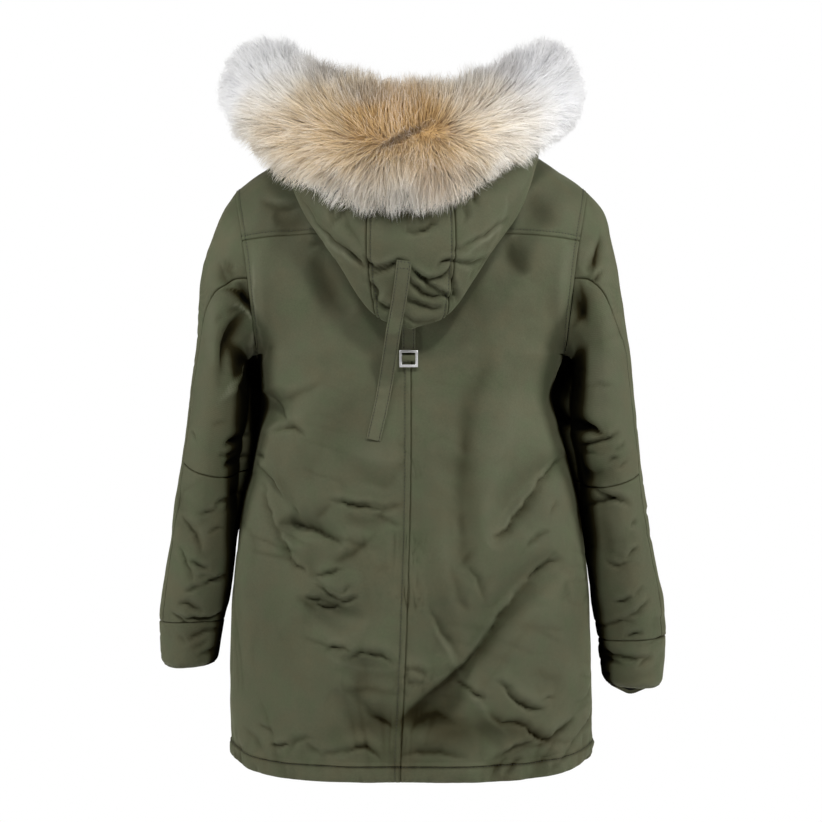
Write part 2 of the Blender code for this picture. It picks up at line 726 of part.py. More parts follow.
def buckle_tab(material):
    """Tab from under the hood: behind the slider's top bar and round its centre bar."""
    centre = seat_of_slider()
    x, z_bar = SLIDER_CENTRE
    back = centre[1] - SEAT_GAP - TAB_THICKNESS
    profile = [(back_at(x, TAB_TOP)[1] + SEAT_GAP, TAB_TOP),
               (back_at(x, TAB_TOP - 20)[1] + SEAT_GAP, TAB_TOP - 20),
               (back_at(x, TAB_TOP - 40)[1] + SEAT_GAP, TAB_TOP - 40),
               (back, z_bar + SLIDER_HEIGHT / 2)]
    bar_middle = centre[1] + SLIDER_BAR / 2
    outer = bar_middle - back
    turns = [math.radians(angle) for angle in range(180, -1, -30)]
    profile += [(bar_middle + outer * math.cos(turn), z_bar - outer * math.sin(turn)) for turn in turns]
    profile.append((bar_middle + outer, z_bar + SLIDER_HEIGHT / 2 - 2 * SLIDER_BAR))
    profile = np.array(profile)
    run = unit(np.gradient(profile, axis=0))
    inward = np.stack([-run[:, 1], run[:, 0]], axis=1)
    far = profile + inward * TAB_THICKNESS
    left, right = x - TAB_WIDTH / 2, x + TAB_WIDTH / 2

    def line(points):
        return np.array([[[left, y, z], [right, y, z]] for y, z in points])

    return slab_object("buckle_tab", line(far), line(profile), False, False, material)


def buckle(material):
    """Square slider with a centre bar."""
    centre = seat_of_slider()
    half_width, half_height, bar = SLIDER_WIDTH / 2, SLIDER_HEIGHT / 2, SLIDER_BAR
    across = [-half_width, -half_width + bar, half_width - bar, half_width]
    up = [-half_height, -half_height + bar, -bar / 2, bar / 2, half_height - bar, half_height]
    form = bmesh.new()
    corners = {(i, j): form.verts.new([(centre[0] + a) * MM, centre[1] * MM, (centre[2] + b) * MM])
               for i, a in enumerate(across) for j, b in enumerate(up)}
    for i in range(len(across) - 1):
        for j in range(len(up) - 1):
            if not (i == 1 and j in (1, 3)):
                form.faces.new([corners[i, j], corners[i + 1, j], corners[i + 1, j + 1], corners[i, j + 1]])
    raised = bmesh.ops.extrude_face_region(form, geom=form.faces[:])["geom"]
    lifted = [item for item in raised if isinstance(item, bmesh.types.BMVert)]
    bmesh.ops.translate(form, verts=lifted, vec=(0, bar * MM, 0))
    loose = [vert for vert in form.verts if not vert.link_faces]
    bmesh.ops.delete(form, geom=loose, context="VERTS")
    bmesh.ops.recalc_face_normals(form, faces=form.faces)
    sharp = [edge for edge in form.edges if edge.calc_face_angle(0) > math.radians(45)]
    bmesh.ops.bevel(form, geom=sharp, offset=SLIDER_BEVEL * MM, segments=1, profile=0.5,
                    affect="EDGES", material=-1)
    return object_from(form, "buckle", material)


def storm_flap(material):
    """Flat flap over the front closure, made from the fronts' points moved out."""
    left, right = FLAP_EDGES
    across = np.linspace(left, right, 5)
    rows = [row for row in body_rows() if row > 0] + [level_of(360 - angle) for angle in FRONT_ARMHOLE[1:-1]]
    points = grid_of(lambda x, v: torso_at(-1, x, v), rows, across)
    normals = unit(grid_normals(points, False))
    near = points + normals * 2 * SEAT_GAP
    far = near + normals * WEBBING
    return slab_object("storm_flap", far, near, False, False, material)


def clear_scene():
    for item in list(bpy.data.objects):
        bpy.data.objects.remove(item, do_unlink=True)


def main():
    clear_scene()
    cloth = make_material("olive_cloth", (0.105, 0.115, 0.066), 0.62)
    webbing = make_material("olive_webbing", (0.095, 0.103, 0.06), 0.7)
    fur = make_material("fur", (0.52, 0.4, 0.27), 0.85)
    metal = make_material("gunmetal", (0.45, 0.45, 0.44), 0.3, 1.0)
    panels = body_panels() + sleeve_panels(1) + sleeve_panels(-1) + hood_panels()
    shared = {}
    for panel in panels:
        rows, columns = panel.points.shape[:2]
        for i in range(rows):
            for j in range(columns):
                shared.setdefault(place_key(panel.points[i, j]), []).append(panel.normals[i, j])
    for panel in panels:
        panel.build(cloth, shared)
    storm_flap(cloth)
    fur_ruff(fur)
    hood_strap(webbing)
    buckle_tab(webbing)
    buckle(metal)


main()
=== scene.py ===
# Fur trimmed parka seen from behind: cloth, sewing, strap, slider and fur on the fixed frame.
# Tables and sizes are in millimetres and are scaled by mm where a mesh is made.
import math

import bmesh
import bpy
import numpy as np
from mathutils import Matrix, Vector


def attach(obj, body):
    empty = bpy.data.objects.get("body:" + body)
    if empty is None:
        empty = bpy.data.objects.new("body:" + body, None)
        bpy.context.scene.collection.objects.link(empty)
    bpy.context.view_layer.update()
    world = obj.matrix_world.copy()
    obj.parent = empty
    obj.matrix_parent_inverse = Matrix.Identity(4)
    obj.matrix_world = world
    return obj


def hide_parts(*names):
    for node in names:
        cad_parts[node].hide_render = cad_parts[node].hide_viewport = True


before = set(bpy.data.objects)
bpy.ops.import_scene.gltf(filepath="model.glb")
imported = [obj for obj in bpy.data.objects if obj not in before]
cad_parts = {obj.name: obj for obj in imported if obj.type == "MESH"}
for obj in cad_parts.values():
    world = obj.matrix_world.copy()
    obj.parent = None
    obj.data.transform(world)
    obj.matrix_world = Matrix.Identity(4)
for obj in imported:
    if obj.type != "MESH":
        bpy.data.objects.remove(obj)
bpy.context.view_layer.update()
mm = 0.001

shell = {
    "wall": 4.2,            # shell, padding and lining together
    "seamGap": -0.1,        # borders just meet, so that no light comes through
    "seamDip": 1.9,         # how far a seam is drawn in
    "seamReach": 1.1,
    "seamShade": 0.8,
    "seamShadeReach": 0.9,
    "stitchDip": 0.9,
    "stitchReach": 1.2,
    "rowShade": 0.1,
    "rowShadeReach": 2.2,
    "besideRow": 0.5,       # how far the cloth rises between the seam and its stitch row
    "puckerReach": 11,
    "puckerShade": 0.12,
    "fade": 6,              # half the length over which a stitch row begins
    "edgeRound": 2.0,       # rounding of hem and cuff edges
    "lineEvery": 3,         # every third line of the outer side is in the lining
}


# Smooth tables

def slopesOf(steps, rises):
    # slope at each station, from the rises on both sides of it
    inner = (rises[..., :-1] * steps[..., 1:] + rises[..., 1:] * steps[..., :-1]) / (
        steps[..., :-1] + steps[..., 1:])
    return np.concatenate([rises[..., :1], inner, rises[..., -1:]], axis=-1)


def smoothValue(stations, values, at):
    # curve through the stations, held level past both ends; stations may differ for each place
    at = np.asarray(at, dtype=float)
    shape = at.shape
    at = at.reshape(-1)
    stations = np.broadcast_to(np.asarray(stations, dtype=float), (at.size, np.shape(stations)[-1]))
    values = np.broadcast_to(np.asarray(values, dtype=float), stations.shape)
    at = np.clip(at, stations[:, 0], stations[:, -1])
    steps = np.diff(stations, axis=1)
    rises = np.diff(values, axis=1) / steps
    slopes = slopesOf(steps, rises)
    index = np.clip((stations <= at[:, None]).sum(axis=1) - 1, 0, stations.shape[1] - 2)
    row = np.arange(at.size)
    span = steps[row, index]
    t = (at - stations[row, index]) / span
    start, end = values[row, index], values[row, index + 1]
    leadIn, leadOut = slopes[row, index] * span, slopes[row, index + 1] * span
    curve = (start * (2 * t**3 - 3 * t**2 + 1) + leadIn * (t**3 - 2 * t**2 + t)
             + end * (3 * t**2 - 2 * t**3) + leadOut * (t**3 - t**2))
    return curve.reshape(shape)


def tableRow(columns, rows, at, byIndex=False):
    # columns of a table at places between its rows
    rows = np.array(rows, dtype=float)
    stations = np.arange(len(rows)) if byIndex else rows[:, 0]
    return {name: smoothValue(stations, rows[:, i], at) for i, name in enumerate(columns)}


def mix(start, end, share):
    return start + (end - start) * share


def smoothStep(low, high, value):
    share = np.clip((value - low) / (high - low), 0, 1)
    return share * share * (3 - 2 * share)


def stack(x, y, z):
    return np.stack(np.broadcast_arrays(x, y, z), axis=-1).astype(float)


def grids(first, second):
    return np.broadcast_arrays(np.asarray(first, dtype=float), np.asarray(second, dtype=float))


def lengthsAlong(points):
    # how far along its line each point lies
    return np.concatenate([[0], np.cumsum(np.linalg.norm(np.diff(points, axis=0), axis=1))])


def unit(vectors):
    return vectors / np.maximum(np.linalg.norm(vectors, axis=-1, keepdims=True), 1e-9)


latticeValues = np.random.default_rng(41).uniform(-1, 1, 8192)


def softNoise(points, size, seed=0):
    # smooth noise from -1 to 1 with lumps of about that size
    places = points / size
    corner = np.floor(places).astype(np.int64)
    share = places - corner
    share = share * share * (3 - 2 * share)
    total = np.zeros(places.shape[:-1])
    for i in (0, 1):
        for j in (0, 1):
            for k in (0, 1):
                weight = np.abs(1 - i - share[..., 0]) * np.abs(1 - j - share[..., 1]) * np.abs(
                    1 - k - share[..., 2])
                cell = ((corner[..., 0] + i) * 73856093 ^ (corner[..., 1] + j) * 19349663
                        ^ (corner[..., 2] + k) * 83492791 ^ seed * 2654435) % latticeValues.size
                total += weight * latticeValues[cell]
    return total


# Garment surfaces, the same as in the frame

body = {
    "hem": -768,
    "underarm": -250,
    "columns": ("height", "leftWidth", "rightWidth", "backDepth", "frontDepth", "squareness"),
    "levels": [
        (-768, 232, 234, 128, 124, 2.5),
        (-700, 236, 236, 130, 126, 2.5),
        (-620, 235, 234, 130, 127, 2.5),
        (-517, 229, 228, 129, 126, 2.5),
        (-452, 221, 220, 127, 124, 2.4),
        (-386, 207, 205, 124, 122, 2.4),
        (-347, 200, 194, 122, 121, 2.4),
        (-300, 196, 184, 121, 120, 2.4),
        (-250, 200, 200, 123, 122, 2.4),
    ],
    "backHemDrop": 17,
    "frontHemDrop": 6,
    "hemBand": 20,          # height of the hem's stitch row
    "hemRelief": 2.4,
    "seamLean": 12.5,       # how far the centre back seam leans to the left at the hem
    "leanFrom": -370,
}
shoulders = {
    "yokeHeight": -99,
    "yokeAngle": 70,        # place of the yoke seam on the armhole
    "squareness": 2.4,
    "backDepth": 119,
    "frontDepth": 112,
    "neckHalfWidth": 85,
    "backNeckDepth": 85,
    "frontNeckDepth": 100,
    "neckSide": 45,
    "backNeckDrop": 23,
    "frontNeckDrop": 80,
    "fall": 81,
    "neckShare": 0.45,      # part of a panel's width that ends in the neckline
    "fullness": 0.78,
}
sleeve = {
    "columns": ("outerX", "outerZ", "innerX", "innerZ", "middleY", "halfDepth", "backSeam", "hollow",
                "press"),
    "leftRings": [
        (229, -36, 200, -250, 0, 85, 96, 6, 0),
        (247, -63, 206, -251, 0, 87, 89, 5, 0),
        (259, -95, 211, -255, 0, 89, 81, 3, 3),
        (270, -130, 213, -264, 0, 89, 70, 1, 12),
        (276, -180, 213, -280, 0, 88, 54, 0, 28),
        (281, -235, 212, -303, 0, 85, 39, 0, 31),
        (289, -300, 215, -335, 0, 81, 35, 0, 32),
        (295, -350, 221, -365, -1, 77, 35, 0, 35),
        (302, -405, 226, -405, -3, 73, 35, 0, 31),
        (312, -455, 229, -455, -8, 70, 35, 0, 19),
        (321, -510, 231, -510, -15, 66, 35, 0, 0),
        (329, -565, 239, -562, -24, 62, 35, 0, 0),
        (333, -598, 247, -597, -30, 59, 35, 0, 0),
        (331, -662, 258, -660, -38, 54, 35, 0, 0),
    ],
    "rightRings": [
        (229, -36, 200, -250, 0, 85, 96, 6, 0),
        (250, -63, 206, -251, 0, 87, 89, 5, 0),
        (260, -97, 210, -255, 0, 89, 81, 3, 3),
        (270, -140, 212, -265, 0, 89, 70, 1, 14),
        (277, -195, 211, -283, 0, 88, 54, 0, 36),
        (284, -250, 209, -308, 0, 85, 40, 0, 42),
        (291, -312, 209, -345, 0, 81, 36, 0, 32),
        (298, -368, 216, -380, -1, 77, 35, 0, 28),
        (304, -418, 222, -418, -3, 73, 35, 0, 24),
        (312, -472, 228, -472, -8, 70, 35, 0, 17),
        (323, -530, 233, -530, -15, 66, 35, 0, 0),
        (334, -585, 242, -583, -24, 62, 35, 0, 0),
        (338, -618, 248, -622, -30, 59, 35, 0, 0),
        (334, -688, 256, -686, -38, 54, 35, 0, 0),
    ],
    "pressForm": 1.54,      # brings the fullest place of the press to 1
    "frontSeam": 230,
    "elbow": 7.7,
    "elbowBow": 0.35,
    "cuff": 12,
    "last": 13,
    "rightCuffTilt": 16,
}
hood = {
    "columns": ("angle", "rollR", "rollZ", "layR", "layZ", "foldR", "foldZ", "bellyR", "bellyZ",
                "rimR", "rimZ"),
    "sections": [
        (0, 96, 34, 131, -70, 166, -222, 206, -140, 177, -5),
        (17, 97, 36, 132, -65, 171, -200, 208, -128, 178, 0),
        (32, 99, 40, 135, -45, 180, -132, 210, -85, 180, 14),
        (46, 101, 46, 141, -14, 188, -70, 207, -35, 182, 38),
        (56, 102, 50, 132, 20, 174, -16, 194, 8, 182, 56),
        (66, 103, 54, 130, 44, 156, 30, 176, 40, 182, 70),
        (90, 98, 60, 118, 60, 138, 60, 158, 68, 178, 92),
        (114, 98, 48, 110, 48, 126, 50, 146, 66, 168, 90),
        (134, 100, 24, 108, 26, 120, 32, 136, 48, 154, 72),
        (150, 103, 4, 108, 8, 116, 14, 128, 28, 144, 48),
        (180, 106, -24, 110, -18, 116, -12, 124, -2, 136, 12),
    ],
    "gusset": 15,           # half the angle of the middle panel
    "seamRow": 5.5,
    "grid": {"inside": 9, "outside": 3.0, "sides": 5.0, "centre": 3.0},
    # from the neckline (0) to the rim (1): where it lies on the back, is calm again and turns uneven
    "lies": (0.52, 0.62),
    "calmRim": (0.93, 1.0),
    "uneven": (0.3, 0.6),
    "facing": (0.0, 0.3),
}
ruff = {
    "columns": ("angle", "centreR", "centreZ", "halfLong", "halfShort", "lean"),
    "sections": [
        (0, 178, 1, 106, 46, 29),
        (17, 179, 6, 104, 47, 28),
        (32, 181, 22, 98, 50, 26),
        (48, 185, 44, 91, 54, 22),
        (66, 186, 74, 82, 57, 14),
        (90, 182, 98, 68, 58, 0),
        (114, 174, 98, 62, 56, -10),
        (134, 160, 78, 56, 48, -15),
        (150, 149, 54, 50, 43, -15),
        (172, 141, 22, 44, 36, -10),
    ],
    "endAngle": 172,
    "sideShift": 4,
    "sideSwell": 0.15,
    "rightLift": 0.27,      # the right half of its lower fringe hangs less far down
}


def ringsOf(side):
    return sleeve["leftRings"] if side > 0 else sleeve["rightRings"]


def sleevePoint(side, angle, ring):
    # by the angle round the sleeve, from its outer line through its back
    angle, ring = grids(angle, ring)
    row = tableRow(sleeve["columns"], ringsOf(side), ring, byIndex=True)
    turn = np.radians(angle)
    across, roundBack = np.cos(turn), np.sin(turn)
    x = mix(row["innerX"], row["outerX"], (1 + across) / 2) - row["hollow"] * roundBack**2
    # in front the sleeve presses in against the body
    x = x - row["press"] * sleeve["pressForm"] * np.clip(-roundBack, 0, 1) * (1 - across) / 2
    y = row["middleY"] + row["halfDepth"] * roundBack
    z = mix(row["innerZ"], row["outerZ"], (1 + across) / 2)
    if side < 0:
        tilt = np.clip(ring - sleeve["cuff"], 0, 1) * np.clip(-roundBack, 0, 1)**1.5
        z = z - sleeve["rightCuffTilt"] * tilt
    return stack(side * x, y, z)


def necklinePoint(side, face, angle):
    turn = np.radians(angle)
    depth = shoulders["backNeckDepth"] if face > 0 else shoulders["frontNeckDepth"]
    drop = shoulders["backNeckDrop"] if face > 0 else shoulders["frontNeckDrop"]
    return stack(side * shoulders["neckHalfWidth"] * np.sin(turn), face * depth * np.cos(turn),
                 shoulders["neckSide"] - drop * np.cos(turn)**2)


def topLine(side, face, u):
    # neckline, then shoulder seam
    neck = necklinePoint(side, face, 90 * np.clip(u / shoulders["neckShare"], 0, 1))
    share = np.clip((u - shoulders["neckShare"]) / (1 - shoulders["neckShare"]), 0, 1)
    end = np.abs(sleevePoint(side, 0, 0)[..., 0])
    seam = stack(side * mix(shoulders["neckHalfWidth"], end, share), 0,
                 shoulders["neckSide"] - shoulders["fall"] * share**1.5)
    return np.where((u <= shoulders["neckShare"])[..., None], neck, seam)


def quarterSection(u, edge, depth, squareness, centreHeight):
    # rounded quarter section from the centre line to the edge
    lastTurn = np.arccos(np.clip(np.abs(edge[..., 1]) / depth, 0, 1) ** (squareness / 2))
    power = 2 / squareness
    fullWidth = np.abs(edge[..., 0]) / np.sin(lastTurn) ** power
    turn = u * lastTurn
    x = fullWidth * np.sin(turn) ** power
    y = depth * np.clip(np.cos(turn), 0, 1) ** power
    return x, y, mix(centreHeight, edge[..., 2], (x / np.abs(edge[..., 0]))**4)


def bodyPoint(side, face, u, v):
    height = mix(body["hem"], body["underarm"], v)
    row = tableRow(body["columns"], body["levels"], height)
    width = row["leftWidth"] if side > 0 else row["rightWidth"]
    depth = row["backDepth"] if face > 0 else row["frontDepth"]
    drop = (body["backHemDrop"] if face > 0 else body["frontHemDrop"]) * (1 - v)**3
    x, y, z = quarterSection(u, stack(width, 0, height), depth, row["squareness"], height)
    lean = body["seamLean"] * (face > 0) * np.clip((body["leanFrom"] - height) / 370, 0, 1)**1.6
    return stack(side * x + lean * (1 - x / width)**2, face * y, z - drop * (1 - (x / width)**6))


def chestPoint(side, face, u, share):
    edge = sleevePoint(side, mix(180, shoulders["yokeAngle"], share), 0)
    low = body["levels"][-1][3 if face > 0 else 4]
    high = shoulders["backDepth"] if face > 0 else shoulders["frontDepth"]
    centreHeight = mix(body["underarm"], shoulders["yokeHeight"], share)
    x, y, z = quarterSection(u, edge, mix(low, high, share), shoulders["squareness"], centreHeight)
    return stack(side * x, face * y, z)


def shoulderPoint(side, face, u, share):
    def arch(u):
        start, end = chestPoint(side, face, u, np.ones_like(u)), topLine(side, face, u)
        middle = mix(start, end, np.array([0.5, 0.06, shoulders["fullness"]]))
        s = share[..., None]
        return (1 - s)**2 * start + 2 * s * (1 - s) * middle + s**2 * end

    edge = sleevePoint(side, shoulders["yokeAngle"] * (1 - share), 0) * np.array([1, face, 1])
    return arch(u) + u[..., None]**4 * (edge - arch(np.ones_like(u)))


def torsoBase(side, face, u, v):
    # u from the centre to the side, v from the hem up past the underarm (1) and yoke seam (2) to the top (3)
    u, v = grids(u, v)
    low = bodyPoint(side, face, u, np.clip(v, 0, 1))
    middle = chestPoint(side, face, u, np.clip(v - 1, 0, 1))
    high = shoulderPoint(side, face, u, np.clip(v - 2, 0, 1))
    v = v[..., None]
    return np.where(v <= 1, low, np.where(v <= 2, middle, high))


def hoodBase(angle, share):
    # by the direction round the neck, from the neckline (0) over the roll, down the back, up to the rim (1)
    angle, share = grids(angle, share)
    side, turn = np.where(angle >= 0, 1.0, -1.0), np.abs(angle)
    neck = np.where((turn <= 90)[..., None], necklinePoint(1, 1, np.minimum(turn, 90)),
                    necklinePoint(1, -1, 180 - np.maximum(turn, 90)))
    row = tableRow(hood["columns"], hood["sections"], turn)
    names = ("roll", "lay", "fold", "belly", "rim")
    radii = np.stack([np.hypot(neck[..., 0], neck[..., 1])] + [row[name + "R"] for name in names], axis=-1)
    heights = np.stack([neck[..., 2]] + [row[name + "Z"] for name in names], axis=-1)
    lengths = np.hypot(np.diff(radii), np.diff(heights))
    stations = np.concatenate([np.zeros_like(lengths[..., :1]), np.cumsum(lengths, axis=-1)], axis=-1)
    stations = (stations / stations[..., -1:]).reshape(-1, 6)
    radius = smoothValue(stations, radii.reshape(-1, 6), share.reshape(-1)).reshape(share.shape)
    height = smoothValue(stations, heights.reshape(-1, 6), share.reshape(-1)).reshape(share.shape)
    neckTurn = np.arctan2(np.abs(neck[..., 0]), neck[..., 1])
    direction = mix(neckTurn, np.radians(turn), np.minimum(1, share * 3))
    return stack(side * radius * np.sin(direction), radius * np.cos(direction), height)


def ruffPoint(angle, sectionAngle, swell):
    # point of the fur's form, where swell is 1 at the tips of the hair
    row = tableRow(ruff["columns"], ruff["sections"], np.abs(angle))
    turn, lean = np.radians(angle), np.radians(row["lean"])
    around = np.radians(sectionAngle)
    lift = ruff["rightLift"] * smoothStep(2, 36, -angle) * (1 - smoothStep(62, 95, -angle))
    down = swell * row["halfLong"] * np.cos(around) * (1 - lift * smoothStep(0.0, 0.5, np.cos(around)))
    out = swell * row["halfShort"] * np.sin(around) * (1 + ruff["sideSwell"] * np.sin(turn))
    radius = row["centreR"] + down * np.sin(lean) + out * np.cos(lean)
    height = row["centreZ"] - down * np.cos(lean) + out * np.sin(lean)
    shift = ruff["sideShift"] * np.abs(np.sin(turn))
    return stack(radius * np.sin(turn) + shift, radius * np.cos(turn), height)


# Creases, a row for each: two ends, the bow between them, reach above and below it, height
# (below zero for a trough), sharpness of its profile, and the height of a lip beside it

creaseLook = {
    "height": 1.45,         # of the sharp creases, and of the broad folds next
    "broad": 3.2,
    "sharpUpTo": 10,        # a row that reaches up less than this is a sharp crease
    "reach": 0.95,
    "taper": 0.8,
    "endReach": 0.45,       # part of its reach that is left at both ends
    "bluntest": 1.4,
    "narrowest": 2.3,
    "waves": [(0.9, 5.3, "x1"), (0.5, 2.3, "z1")],      # size, length and start of its small waves
    "wavesUpTo": 8,
    "lip": (0.6, 2.0, 1.3),     # height, distance and width of a lip
    "sharpTone": 0.14,      # shade for each millimetre of a row's height
    "broadTone": 0.13,
    "toneReach": 0.7,       # how wide a sharp crease's shade is beside the crease
    "toneLeast": 1.8,
    "tonePower": 1.6,
    "tonesFace": (-0.1, 0.2),
    "facing": (0.05, 0.4),  # how far the cloth faces back or front where creases start and are full
}
creaseColumns = ("x1", "z1", "x2", "z2", "bow", "up", "down", "height", "power", "lip")
# A place in the photo: its pixels are counted from its top left corner, and it was taken square on
photo = {
    "scale": 1.31,          # millimetres for each pixel at the coat's middle
    "eye": 2.5,             # metres from the camera to the coat's middle
    "middle": 411,          # pixel in the middle, across and down
    "level": -322,          # height of the middle pixel
}


def fromPhoto(depth, rows):
    # rows at a depth in metres, from two or three points in the photo and the columns after the bow
    scale = photo["scale"] * (photo["eye"] - depth) / photo["eye"]
    made = []
    for points, *others in rows:
        places = [((photo["middle"] - across) * scale, photo["level"] + (photo["middle"] - down) * scale)
                  for across, down in points]
        (x1, z1), (x2, z2) = places[0], places[-1]
        x, z = places[1]
        bow = ((z - z1) * (x2 - x1) - (x - x1) * (z2 - z1)) / math.hypot(x2 - x1, z2 - z1)
        row = (x1, z1, x2, z2, bow if len(places) == 3 else 0, *others, 0)     # the lip may be left out
        made.append(row[:len(creaseColumns)])
    return made


